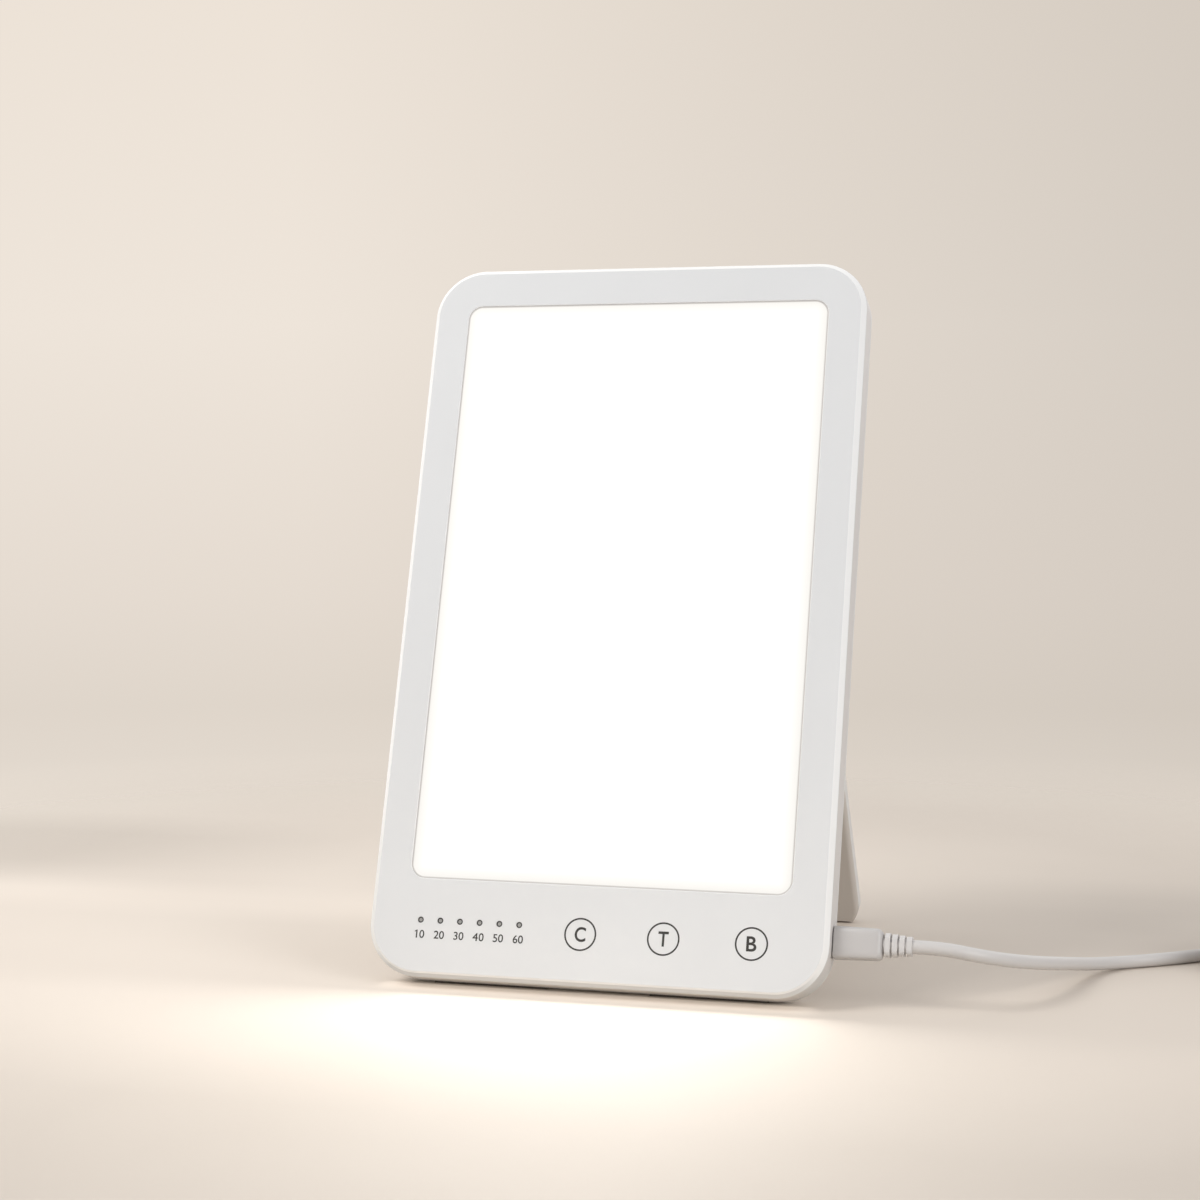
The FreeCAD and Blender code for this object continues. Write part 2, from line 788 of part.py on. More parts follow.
def heel():
    """The stop of the open leg: its flat face comes to rest against the back cover."""
    wall_side = hinge_offset - heel_gap
    profile = [(0, wall_side), (heel_reach, wall_side), (heel_reach, wall_side - heel_wall),
               (leg_half * 0.64, -leg_half * 0.59), (0, 0)]
    corners = [Vector(-barrel_half, v, w) for v, w in profile]
    solid = Part.Face(Part.makePolygon(corners + corners[:1])).extrude(X_AXIS * (2 * barrel_half))
    solid.rotate(Vector(0, 0, 0), X_AXIS, -leg_swing)
    return solid


def leg_ribs():
    """Ribs and screw bosses inside the leg, from the outer shell's floor to the split."""
    floor = -leg_half + leg_wall / 2
    low = -leg_length + leg_solid_end / 2
    high = -leg_neck
    pieces = []
    for side in SIDES:
        pieces.append(side_box(side, leg_long_rib_place - leg_rib_wall / 2,
                               leg_long_rib_place + leg_rib_wall / 2, low, high, floor, leg_split))
    for index in range(leg_cross_ribs):
        level = low + (index + 1) * (high - low) / (leg_cross_ribs + 1)
        half = leg_half_width(level) - leg_side_wall / 2
        pieces.append(box(-half, half, level - leg_rib_wall / 2, level + leg_rib_wall / 2, floor, leg_split))
    for u, level in leg_screw_places():
        pieces.append(post(u, level, leg_boss_diameter, floor, leg_split))
    return pieces


def leg_outer_shell():
    """The leg's main moulding: smooth outside, ribbed inside, with the hinge barrel and its heel."""
    plate = leg_plate(0, 0, 0, -leg_half, leg_split)
    plate = plate.makeFillet(leg_rounding, edges_at_level(plate, -leg_half))
    plate = plate.makeChamfer(parting_chamfer, edges_at_level(plate, leg_split))
    tray = plate.cut(leg_hollow(-leg_half + leg_wall, leg_split))
    neck = box(-barrel_half, barrel_half, -leg_neck, 0, -leg_half, leg_half)
    barrel = rod(0, 0, leg_thickness, -barrel_half, barrel_half)
    shell = union([tray, neck, barrel, heel()] + leg_ribs())
    bores = [side_rod(side, 0, 0, bush_diameter + 2 * screw_gap, barrel_half - bush_length, barrel_half)
             for side in SIDES]
    bores += [post(u, level, small_screw_diameter + 2 * screw_gap,
                   leg_half - small_screw_length - screw_gap, leg_split) for u, level in leg_screw_places()]
    return trimmed_at_table(cut_all(shell, bores))


def turned_over(shape, u, level):
    """A screw or its hole, made along +z, turned to enter the leg from its inner face."""
    shape.rotate(Vector(0, 0, 0), X_AXIS, 180)
    shape.translate(Vector(u, level, 0))
    return shape


def leg_inner_shell():
    """The flat moulding that closes the leg on the side of the panel."""
    plate = leg_plate(0, 0, 0, leg_split, leg_half)
    plate = plate.makeFillet(leg_rounding, edges_at_level(plate, leg_half))
    plate = plate.makeChamfer(parting_chamfer, edges_at_level(plate, leg_split))
    neck_half = barrel_half + neck_gap
    neck_room = box(-neck_half, neck_half, -leg_neck - neck_gap, 0, leg_split, leg_half)
    shell = plate.cut(leg_hollow(leg_split, leg_half - leg_inner_wall)).cut(neck_room)
    bosses = [post(u, level, leg_boss_diameter, leg_split, leg_half - leg_inner_wall / 2)
              for u, level in leg_screw_places()]
    holes = [turned_over(countersunk_hole(0, 0, -leg_half, small_screw_diameter, small_screw_head,
                                          small_screw_length), u, level) for u, level in leg_screw_places()]
    return trimmed_at_table(cut_all(union([shell] + bosses), holes))


def leg_screws():
    return group([turned_over(countersunk_screw(0, 0, -leg_half, small_screw_diameter, small_screw_head,
                                                small_screw_length), u, level)
                  for u, level in leg_screw_places()])


def hinge_bush(side):
    bush = side_rod(side, 0, 0, bush_diameter, barrel_half - bush_length, barrel_half)
    return bush.cut(side_rod(side, 0, 0, pin_diameter + 2 * bush_clearance,
                             barrel_half - bush_length, barrel_half))


# ---------------------------------------------------------------- plug in the socket

def plug_housing():
    """The plug's grip, which gets a little narrower towards the cord."""
    back = -socket_axis - plug_thickness / 2
    near = plug_width / 2
    far = near - plug_taper
    corners = [Vector(plug_start, socket_level - near, back), Vector(plug_end, socket_level - far, back),
               Vector(plug_end, socket_level + far, back), Vector(plug_start, socket_level + near, back)]
    block = Part.Face(Part.makePolygon(corners + corners[:1])).extrude(Vector(0, 0, plug_thickness))
    block = block.makeFillet(plug_rounding, [edge for edge in block.Edges
                                             if edge.BoundBox.XLength > plug_length / 2])
    rim = [edge for edge in block.Edges if edge.BoundBox.XMin > plug_end - 1e-4]
    return block.makeFillet(plug_rounding * 0.9, rim)


def plug_tip():
    """The plug's metal shell, open at its mouth for the socket's tongue."""
    mouth = plug_start - tip_reach
    width = socket_inner_width - 2 * tip_clearance
    thickness = socket_inner_thickness - 2 * tip_clearance
    shell = capsule(socket_level, -socket_axis, width, thickness, mouth, plug_start)
    return shell.cut(capsule(socket_level, -socket_axis, width - 2 * tip_wall, thickness - 2 * tip_wall,
                             mouth, plug_start - tip_wall))


def strain_relief():
    """Ribs that get smaller along a core, as on a slotted cord relief."""
    pieces = [rod(socket_level, -socket_axis, cord_diameter + 2 * relief_core_wall, plug_end, relief_end)]
    for index in range(relief_rib_count):
        share = index / (relief_rib_count - 1)
        width = relief_first_width + share * (relief_last_width - relief_first_width)
        thickness = relief_first_thickness + share * (relief_last_thickness - relief_first_thickness)
        end = plug_end + (index + 1) * (relief_rib + relief_slot)
        rib = box(end - relief_rib, end, socket_level - width / 2, socket_level + width / 2,
                  -socket_axis - thickness / 2, -socket_axis + thickness / 2)
        long_edges = [edge for edge in rib.Edges if edge.BoundBox.XLength > relief_rib / 2]
        pieces.append(rib.makeFillet(thickness * 0.35, long_edges))
    bridge_end = plug_end + (relief_rib_count - 1) * (relief_rib + relief_slot)
    half_bridge = relief_bridge / 2
    bridge_reach = relief_last_thickness / 2 - relief_bridge_setback
    pieces.append(box(plug_end, bridge_end, socket_level - half_bridge, socket_level + half_bridge,
                      -socket_axis - bridge_reach, -socket_axis + bridge_reach))
    return union(pieces)


# ---------------------------------------------------------------- cord, coil and far plug

# The lead lies where it is put: these points are chosen by hand, in the world frame.
first_run = 9.0
lead_points = [
    Vector(113.5, -56.6, 16.4),
    Vector(123.2, -46.3, 13.3),
    Vector(131.2, -30.2, 9.9),
    Vector(136.6, -13.3, 6.6),
    Vector(141.6, 1.8, 3.6),
    Vector(149.5, 13.6, cord_diameter / 2),
    Vector(161.0, 21.2, cord_diameter / 2),
    Vector(176.0, 33.2, cord_diameter / 2),
]
tail_points = [
    Vector(226.5, 48.4, 14.3),
    Vector(236.2, 40.6, 10.6),
    Vector(240.4, 29.4, 6.6),
    Vector(241.0, 18.2, far_plug_height / 2),
    Vector(241.0, 8.0, far_plug_height / 2),
]
coil_centre = Vector(coil_x, coil_y, 0)
coil_entry_angle = 130.0
coil_exit_angle = 75.0
tie_angle = 100.0

cord_end = tail_points[-1]
far_shell_start = far_relief_length + far_plug_length
coil_height = coil_layers * cord_diameter + coil_lift
coil_inner = coil_middle_radius - coil_columns * cord_diameter / 2
coil_outer = coil_middle_radius + coil_columns * cord_diameter / 2


def rounded_route(points):
    """Straight runs joined by tangent arcs, as large as the runs beside each point allow."""
    edges = []
    radii = []
    start = points[0]
    for index in range(1, len(points) - 1):
        corner = points[index]
        back = points[index - 1] - corner
        ahead = points[index + 1] - corner
        setback = 0.45 * min(back.Length, ahead.Length)
        back.normalize()
        ahead.normalize()
        half_turn = (math.pi - back.getAngle(ahead)) / 2
        radius = setback / math.tan(half_turn)
        radii.append(round(radius, 1))
        inward = back + ahead
        inward.normalize()
        middle = corner + inward * (radius / math.cos(half_turn) - radius)
        last = corner + ahead * setback
        edges.append(Part.LineSegment(start, corner + back * setback).toShape())
        edges.append(Part.Arc(corner + back * setback, middle, last).toShape())
        start = last
    edges.append(Part.LineSegment(start, points[-1]).toShape())
    return Part.Wire(edges), radii


def cord_tube(name, points):
    route, radii = rounded_route(points)
    section = Part.Wire(Part.makeCircle(cord_diameter / 2, points[0], points[1] - points[0]))
    tube = route.makePipeShell([section], True, False)
    expected = math.pi * cord_diameter ** 2 / 4 * route.Length
    print(name, "length", round(route.Length, 1), "radii", radii)
    print(name, "volume over section times length", round(tube.Volume / expected, 4))
    return tube


def coil_point(angle, height):
    """A point on the middle line of the coil's outermost turn."""
    radius = coil_outer - cord_diameter / 2
    turned = math.radians(angle)
    return coil_centre + Vector(radius * math.cos(turned), radius * math.sin(turned), height)


def coil_ring(inset):
    """The coil's outer shape, smaller on every side by inset, or larger where that is negative."""
    height = coil_height - 2 * inset
    base = coil_centre + Vector(0, 0, inset)
    outside = Part.makeCylinder(coil_outer - inset, height, base)
    return outside.cut(Part.makeCylinder(coil_inner + inset, height, base))


def tie_box(gap, low, high):
    """A block round one place of the coil, as wide as the tie."""
    reach = coil_columns * cord_diameter / 2 + tie_wall + tie_reach
    block = box(coil_middle_radius - reach, coil_middle_radius + reach,
                -tie_width / 2 - gap, tie_width / 2 + gap, low, high)
    block.rotate(Vector(0, 0, 0), Vector(0, 0, 1), tie_angle)
    block.translate(coil_centre)
    return block


def cord_coil():
    """The coil as one closed ring, cut away below where the tie passes under it."""
    ring = coil_ring(0)
    ring = ring.makeFillet(coil_rounding, [edge for edge in ring.Edges if edge.BoundBox.ZLength < 1e-4])
    return ring.cut(tie_box(tie_gap, 0, tie_wall + tie_gap))


def coil_tie():
    """A flat band round the coil, which lies on the table under the turns."""
    inner = coil_ring(-tie_gap)
    inner = inner.cut(tie_box(tie_gap, -tie_gap, tie_wall))
    outer = coil_ring(-tie_gap - tie_wall).common(tie_box(0, 0, coil_height + tie_gap + tie_wall))
    return outer.cut(inner)


def clear_of_coil(tube, end, before):
    """The tube, cut square and clear of the turns, which it would meet in a thin sliver."""
    last_stretch = Part.makeCylinder(cord_diameter, coil_setback, end, before - end)
    return tube.cut(last_stretch).cut(coil_ring(-coil_gap))


def cord_lead(start):
    entry = coil_point(coil_entry_angle, cord_diameter / 2)
    points = [start, start + X_AXIS * first_run] + lead_points + [entry]
    return clear_of_coil(cord_tube("cord_lead", points), entry, lead_points[-1])


def cord_tail():
    leave = coil_point(coil_exit_angle, coil_height - cord_diameter / 2)
    return clear_of_coil(cord_tube("cord_tail", [leave] + tail_points), leave, tail_points[0])


def far_relief():
    return Part.makeCone(cord_diameter / 2 + far_relief_wall, far_relief_end / 2, far_relief_length,
                         cord_end, Vector(0, -1, 0))


def far_bar(width, height, start, length):
    """A bar along the far plug, which begins start behind the end of the cord."""
    return box(cord_end.x - width / 2, cord_end.x + width / 2, cord_end.y - start - length,
               cord_end.y - start, cord_end.z - height / 2, cord_end.z + height / 2)


def far_plug_housing():
    block = far_bar(far_plug_width, far_plug_height, far_relief_length, far_plug_length)
    block = block.makeFillet(far_plug_rounding, [edge for edge in block.Edges
                                                 if edge.BoundBox.YLength > far_plug_length / 2])
    rim = [edge for edge in block.Edges if edge.BoundBox.YMin > cord_end.y - far_relief_length - 1e-4]
    return block.makeFillet(far_plug_rounding * 0.9, rim)


def far_plug_shell():
    """The far plug's metal shell, with its pairs of latch windows above and below."""
    shell = far_bar(far_shell_width, far_shell_height, far_shell_start, far_shell_length)
    shell = shell.cut(far_bar(far_shell_width - 2 * far_shell_wall, far_shell_height - 2 * far_shell_wall,
                              far_shell_start, far_shell_length))
    windows = []
    for side in SIDES:
        window = far_bar(far_window_size, far_shell_height, far_shell_start + far_shell_length
                         - far_window_setback - far_window_size / 2, far_window_size)
        window.translate(X_AXIS * (side * far_window_place))
        windows.append(window)
    return cut_all(shell, windows)


def far_plug_block():
    """The insulating block that carries the contacts, on the floor of the far plug's shell."""
    block = far_bar(far_shell_width - 2 * far_shell_wall, far_block_height, far_shell_start,
                    far_shell_length - far_block_setback)
    drop = (far_shell_height - 2 * far_shell_wall - far_block_height) / 2
    block.translate(Vector(0, 0, -drop))
    return block


# ---------------------------------------------------------------- write the parts

panel_parts = {
    "front_housing": front_housing(),
    "diffuser_panel": diffuser_panel(),
    "light_guide": guide_sheet(-guide_back, -flange_back),
    "reflector_sheet": guide_sheet(-reflector_back, -guide_back),
    "heat_spreader": heat_spreader(),
    "led_strip_boards": led_strip_boards(),
    "strip_leds": strip_leds(),
    "led_jumpers": led_jumpers(),
    "control_board": control_board(),
    "board_screws": group([board_screw(u) for u in board_bosses]),
    "control_chips": control_chips(),
    "driver_inductor": driver_inductor(),
    "board_capacitors": board_capacitors(),
    "touch_pads": touch_pads(),
    "indicator_guard": indicator_guard(),
    "indicator_light_pipes": indicator_light_pipes(),
    "indicator_leds": indicator_leds(),
    "supply_socket": supply_socket(),
    "socket_tongue": socket_tongue(),
    "case_screws": case_screws(),
    "back_bumpers": back_bumpers(),
    "hinge_pins": group([hinge_pin(side) for side in SIDES]),
    "hinge_washers": group([hinge_washer(side) for side in SIDES]),
}
lamp = {name: placed(shape, panel_place) for name, shape in panel_parts.items()}
lamp["back_cover"] = back_cover()
lamp["base_feet"] = group([base_foot_block(side, 0) for side in SIDES])
lamp["leg_outer_shell"] = leg_outer_shell()
lamp["leg_inner_shell"] = leg_inner_shell()
lamp["leg_screws"] = placed(leg_screws(), leg_place)
lamp["hinge_bushes"] = placed(group([hinge_bush(side) for side in SIDES]), leg_place)
lamp["leg_foot_pad"] = foot_pad_block(0)

# The origin is the bottom centre of the standing lamp, so everything moves by half of its depth.
lamp_box = group(list(lamp.values())).optimalBoundingBox()
to_origin = Vector(0, -(lamp_box.YMin + lamp_box.YMax) / 2, 0)
shift = FreeCAD.Placement(to_origin, FreeCAD.Rotation())
plug_place = shift.multiply(panel_place)

parts = {name: placed(shape, shift) for name, shape in lamp.items()}
parts["plug_housing"] = placed(plug_housing(), plug_place)
parts["plug_tip"] = placed(plug_tip(), plug_place)
parts["strain_relief"] = placed(strain_relief(), plug_place)
parts["cord_lead"] = cord_lead(plug_place.multVec(Vector(relief_end, socket_level, -socket_axis)))
parts["cord_coil"] = cord_coil()
parts["coil_tie"] = coil_tie()
parts["cord_tail"] = cord_tail()
parts["far_relief"] = far_relief()
parts["far_plug_housing"] = far_plug_housing()
parts["far_plug_shell"] = far_plug_shell()
parts["far_plug_block"] = far_plug_block()

os.makedirs("parts", exist_ok=True)
for name, shape in parts.items():
    shape.exportStep("parts/" + name + ".step")
    print(name, "solids", len(shape.Solids), "valid", shape.isValid(), "volume", round(shape.Volume, 1))

print("lamp size", [round(size, 3) for size in (lamp_box.XLength, lamp_box.YLength, lamp_box.ZMax)])
print("shift along y", round(to_origin.y, 4), "edge height", round(edge_height, 4))
print("hinge axis y, z", round(hinge_y + to_origin.y, 4), round(hinge_z, 4))
print("leg length", round(leg_length, 3), "swing", round(leg_swing, 3),
      "folded end above the bottom edge", round(hinge_level - leg_end, 3))
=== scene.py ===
# %% [markdown]
# # A light therapy lamp, dressed in Blender
#
# The lamp is a slim white panel that leans back on a fold-out leg. A big opal window in it glows, six small
# dots and three touch keys sit below the window, and a thin supply lead is plugged into its right side.
#
# The hard parts come ready-made from CAD. What is added here is what a camera sees of them: the finish of
# each material, the printed marks, the lead with its coil, and the light. The CAD model stays the frame on
# which everything sits, so no piece needs fitting by eye.

# %% Load the frame
import math

import bmesh
import bpy
from mathutils import Matrix, Vector


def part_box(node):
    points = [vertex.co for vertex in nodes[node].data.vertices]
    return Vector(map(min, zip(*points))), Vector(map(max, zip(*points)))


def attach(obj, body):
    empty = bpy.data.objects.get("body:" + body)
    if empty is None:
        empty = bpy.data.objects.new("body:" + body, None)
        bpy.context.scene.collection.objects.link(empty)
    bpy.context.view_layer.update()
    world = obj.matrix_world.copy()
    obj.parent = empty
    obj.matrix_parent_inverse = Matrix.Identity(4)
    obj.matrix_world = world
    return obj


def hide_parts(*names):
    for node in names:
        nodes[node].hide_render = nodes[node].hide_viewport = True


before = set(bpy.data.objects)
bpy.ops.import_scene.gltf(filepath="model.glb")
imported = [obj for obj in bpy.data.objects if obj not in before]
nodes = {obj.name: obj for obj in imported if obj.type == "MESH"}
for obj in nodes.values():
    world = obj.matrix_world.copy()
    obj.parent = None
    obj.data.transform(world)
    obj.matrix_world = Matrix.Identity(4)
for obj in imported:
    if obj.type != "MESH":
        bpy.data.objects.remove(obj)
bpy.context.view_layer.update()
scene = bpy.context.scene
MM = 0.001

# %% [markdown]
# ## The camera
#
# A camera in Blender looks along its own -Z axis. Turning it by almost 90 degrees about X lifts that view to
# the horizon, and a second turn about Z swings it round the lamp. The camera stands in front of the lamp, a
# little to the right of its middle, and looks down by about three degrees. A 69 mm lens, longer than Blender's
# usual 50 mm, lets it stand further back, which keeps the lamp's proportions calm.

# %% Camera
LENS = 69
CAMERA_PLACE = (0.18269, -0.72105, 0.15744)
LOOKS_DOWN = 3.270
TURNED_LEFT = 15.436
camera_data = bpy.data.cameras.new("product_camera")
camera_data.lens = LENS
camera_data.clip_start = 0.01
camera = bpy.data.objects.new("product_camera", camera_data)
scene.collection.objects.link(camera)
camera.location = CAMERA_PLACE
camera.rotation_euler = (math.radians(90 - LOOKS_DOWN), 0, math.radians(TURNED_LEFT))
scene.camera = camera
print("camera at", tuple(round(value, 3) for value in camera.location))

# %% [markdown]
# ## Directions on the leaning panel
#
# The panel leans back by 18.4 degrees about its lower edge. Drawing marks on a leaning face is easy in the
# face's own directions: u to the right, v up the panel and w out of the face. One matrix turns such a place,
# given in millimetres, into a place in the room, given in metres.

# %% Panel directions
LEAN = math.radians(18.4)
EDGE = Vector((0, -0.0726838, 0.0041885))
UP_PANEL = Vector((0, math.sin(LEAN), math.cos(LEAN)))
OUT_OF_FACE = Vector((0, -math.cos(LEAN), math.sin(LEAN)))
panel_matrix = Matrix((
    (MM, 0, 0, EDGE.x),
    (0, UP_PANEL.y * MM, OUT_OF_FACE.y * MM, EDGE.y),
    (0, UP_PANEL.z * MM, OUT_OF_FACE.z * MM, EDGE.z),
    (0, 0, 0, 1)))


def on_panel(u, v, w=0.0):
    """The place in the room of a point that is given on the panel in millimetres."""
    return panel_matrix @ Vector((u, v, w))


pads_low, pads_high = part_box("touch_pads")
print("middle key should be near x =", round((pads_low.x + pads_high.x) / 2, 4))

# %% [markdown]
# ## The supply lead
#
# A lead is a fixed length of something flexible. It leaves its plug straight, sinks to the table, and what
# isn't needed lies in a neat coil with a tie round it. A NURBS curve suits it, because such a curve bends
# smoothly near its control points, as a real cord does. A bevel gives the curve its thickness: it is one metre
# deep, and the radius of each point scales it down to the lead's own, so the curve's box isn't larger than the
# lead.
#
# The lead has three stretches. The first follows given points from the plug down to the table.

# %% First stretch of the lead
CORD_DIAMETER = 4.1
cord_radius = CORD_DIAMETER / 2
FIRST_RUN = 9.0
relief_low, relief_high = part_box("strain_relief")
relief_middle = (relief_low + relief_high) / 2
relief_end = Vector((relief_high.x, relief_middle.y, relief_middle.z)) / MM
lead_points = [relief_end, relief_end + Vector((FIRST_RUN, 0, 0))] + [Vector(point) for point in (
    (113.5, -56.6, 16.4),
    (123.2, -46.3, 13.3),
    (131.2, -30.2, 9.9),
    (136.6, -13.3, 6.6),
    (141.6, 1.8, 3.6),
    (149.5, 13.6, cord_radius),
    (161.0, 21.2, cord_radius),
    (176.0, 33.2, cord_radius),
)]
print("the lead leaves its relief at", [round(value, 2) for value in relief_end])

# %% [markdown]
# ### The coil
#
# A tidy coil is two turns wide and four layers high. Each time round, the cord moves over to the next free
# place: in, up, out, up, and so on. The move takes about 100 degrees of the turn, and every move starts a
# little earlier than the one below it, so that no turn runs into its neighbour. A smooth step, 3s² - 2s³,
# makes each move begin and end gently. Under the tie the turns are lifted, to let the strap pass.

# %% Places of the turns
COIL_CENTRE = Vector((207.0, 26.0, 0))
COIL_RADIUS = 24.6
ENTRY_ANGLE = 130.0
COIL_TURN = 2575.0
TIE_ANGLE = 100.0
TIE_LIFT = 0.9
MOVE_LENGTH = 100.0
FIRST_MOVE = 305.0
MOVE_SPACING = 325.0
turn_slots = [(1, 0), (-1, 0), (-1, 1), (1, 1), (1, 2), (-1, 2), (-1, 3), (1, 3)]


def smooth_step(share):
    share = min(max(share, 0.0), 1.0)
    return share * share * (3 - 2 * share)


def cord_in_coil(turned):
    """Radius and height of the cord in the coil, after it has turned by so many degrees."""
    column, layer = turn_slots[0]
    for index in range(len(turn_slots) - 1):
        moved = smooth_step((turned - FIRST_MOVE - index * MOVE_SPACING) / MOVE_LENGTH + 0.5)
        column += moved * (turn_slots[index + 1][0] - turn_slots[index][0])
        layer += moved * (turn_slots[index + 1][1] - turn_slots[index][1])
    from_tie = (turned - (ENTRY_ANGLE - TIE_ANGLE) + 180) % 360 - 180
    lift = TIE_LIFT * math.exp(-(from_tie / 16.0) ** 2 / 2)
    return COIL_RADIUS + column * cord_radius, cord_radius + layer * CORD_DIAMETER + lift


# %% [markdown]
# A curve of this kind touches the middles of its control polygon's sides. So the control points of a round
# turn lie a little outside it, at the radius divided by the cosine of half a step.

# %% Control points of the turns
STEP_COUNT = 143
step = COIL_TURN / STEP_COUNT
coil_points = []
for index in range(STEP_COUNT):
    turned = (index + 0.5) * step
    radius, height = cord_in_coil(turned)
    angle = math.radians(ENTRY_ANGLE - turned)
    reach = radius / math.cos(math.radians(step / 2))
    coil_points.append(COIL_CENTRE + Vector((reach * math.cos(angle), reach * math.sin(angle), height)))
print("coil:", round(COIL_TURN / 360, 2), "turns,", len(coil_points), "points")

# %% [markdown]
# The last stretch leaves the top of the coil and comes down to the far plug, which lies beside it.

# %% Last stretch of the lead
tail_points = [Vector(point) for point in (
    (226.5, 48.4, 14.3),
    (236.2, 40.6, 10.6),
    (240.4, 29.4, 6.6),
    (241.0, 18.2, 3.6),
    (241.0, 8.0, 3.6),
)]
cord_points = lead_points + coil_points + tail_points
print("control points of the whole lead:", len(cord_points))

# %% The lead as one curve
cord_data = bpy.data.curves.new("supply_cord", "CURVE")
cord_data.dimensions = "3D"
cord_data.bevel_depth = 1.0
cord_data.bevel_resolution = 5
cord_data.use_fill_caps = True
cord_data.resolution_u = 5
cord_spline = cord_data.splines.new("NURBS")
cord_spline.points.add(len(cord_points) - 1)
for spline_point, place in zip(cord_spline.points, cord_points):
    spline_point.co = (place.x * MM, place.y * MM, place.z * MM, 1)
    spline_point.radius = cord_radius * MM
cord_spline.order_u = 3
cord_spline.use_endpoint_u = True
supply_cord = bpy.data.objects.new("supply_cord", cord_data)
scene.collection.objects.link(supply_cord)
print("lead length in metres:", round(cord_spline.calc_length(), 3))

# %% [markdown]
# ### The tie round the coil
#
# A woven hook-and-loop strap holds the turns. It is a flat band bent round the bundle, with its end laid over
# its start. The band is built as a row of cross-sections along a rounded rectangle: each section is a thin
# bar, and neighbouring sections are joined by faces. A bevel modifier would round only what is there, so the
# corners are part of the path itself. The plug is joined up from sections in the same way further down.

# %% Helpers: a mesh object, and the faces between its sections
def mesh_object(name, vertices, faces, smooth=False):
    mesh = bpy.data.meshes.new(name)
    mesh.from_pydata([tuple(vertex) for vertex in vertices], [], faces)
    mesh.validate()
    mesh.polygons.foreach_set("use_smooth", [smooth] * len(mesh.polygons))
    built = bpy.data.objects.new(name, mesh)
    scene.collection.objects.link(built)
    return built


def section_faces(sections, points):
    """Faces that join sections of so many points each, one after the other, and close both ends."""
    faces = []
    for section in range(sections - 1):
        for side in range(points):
            a = section * points + side
            b = section * points + (side + 1) % points
            faces.append((a, b, b + points, a + points))
    faces.append(tuple(reversed(range(points))))
    faces.append(tuple(range((sections - 1) * points, sections * points)))
    return faces


# %% Path of the tie
STRAP_WALL = 0.8
STRAP_WIDTH = 7.0
STRAP_GAP = 0.1
bundle_low = STRAP_WALL / 2
bundle_high = 4 * CORD_DIAMETER + TIE_LIFT + STRAP_GAP + STRAP_WALL / 2
bundle_reach = CORD_DIAMETER + STRAP_GAP + STRAP_WALL / 2


def tie_path(corner_radius, corner_steps):
    """Points round the bundle's section, as (outwards, up), beginning at the middle of its top."""
    corners = [(1, bundle_high, 90), (1, bundle_low, 0), (-1, bundle_low, -90), (-1, bundle_high, -180)]
    path = [(0.0, bundle_high)]
    for side, level, first_angle in corners:
        centre_out = side * (bundle_reach - corner_radius)
        centre_up = level + (corner_radius if level == bundle_low else -corner_radius)
        for index in range(corner_steps + 1):
            angle = math.radians(first_angle - 90 * index / corner_steps)
            path.append((centre_out + corner_radius * math.cos(angle),
                         centre_up + corner_radius * math.sin(angle)))
    path.append((0.0, bundle_high))
    return path


# %% Build the tie
# the band's section, in shares of its half wall and half width, with edges that are thinner than its middle
BAND_SECTION = ((1, -1), (1, -0.93), (1, 0.93), (1, 1), (-1, 1), (-1, 0.93), (-1, -0.93), (-1, -1))
EDGE_THINNESS = 0.55


def strap_from(path, half_wall, half_width, name):
    """A flat band along a path of (outwards, up) points, which lies across the coil at the tie's angle."""
    turned = math.radians(TIE_ANGLE)
    outwards = Vector((math.cos(turned), math.sin(turned), 0))
    along = Vector((-math.sin(turned), math.cos(turned), 0))
    middle = COIL_CENTRE + outwards * COIL_RADIUS
    vertices = []
    for index, (out, up) in enumerate(path):
        before = Vector(path[max(index - 1, 0)])
        after = Vector(path[min(index + 1, len(path) - 1)])
        heading = (after - before).normalized()
        normal = Vector((-heading.y, heading.x))
        for wall, width in BAND_SECTION:
            thin = half_wall * (EDGE_THINNESS if abs(width) == 1 else 1.0) * wall
            place = (middle + outwards * (out + normal.x * thin) + Vector((0, 0, up + normal.y * thin))
                     + along * width * half_width)
            vertices.append(place * MM)
    return mesh_object(name, vertices, section_faces(len(path), len(BAND_SECTION)))


coil_strap = strap_from(tie_path(1.6, 8), STRAP_WALL / 2, STRAP_WIDTH / 2, "coil_strap")
overlap_level = bundle_high + STRAP_WALL * 0.95
strap_end = strap_from([(-3.2, overlap_level - 0.1), (-2.0, overlap_level), (0.0, overlap_level),
                        (2.4, overlap_level), (3.6, overlap_level - 0.12)],
                       STRAP_WALL * 0.4, STRAP_WIDTH * 0.49, "strap_end")
for piece in (coil_strap, strap_end):
    edges = piece.modifiers.new("soft edges", "BEVEL")
    edges.width = 0.08 * MM
    edges.segments = 2
    print(piece.name, "faces", len(piece.data.polygons))

# %% [markdown]
# ### The plug
#
# The plug is moulded round its contacts. It is a block only at first sight: its sides bulge a little, its long
# edges turn softly, and its corners are rounder still where the lead comes out. A superellipse is such a
# section, between an ellipse and a rectangle. Sections at a row of stations along the plug are joined by faces,
# and the last ones shrink along a quarter circle.

# %% The plug's moulded block
PLUG_EXPONENT = 5.0
PLUG_ROUNDING = 1.9
PLUG_TAPER = 0.3
PLUG_HALF_WIDTH = 4.85
PLUG_HALF_THICKNESS = 3.2
SECTION_POINTS = 64
ROUNDING_STEPS = 8
# stations at the plug's mouth, as (distance from its start, inset)
mouth_stations = [(0.0, 0.3), (0.1, 0.1), (0.3, 0.0)]
plug_low, plug_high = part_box("plug_housing")
plug_middle = (plug_low + plug_high) / 2 / MM
plug_start, plug_end = plug_low.x / MM, plug_high.x / MM


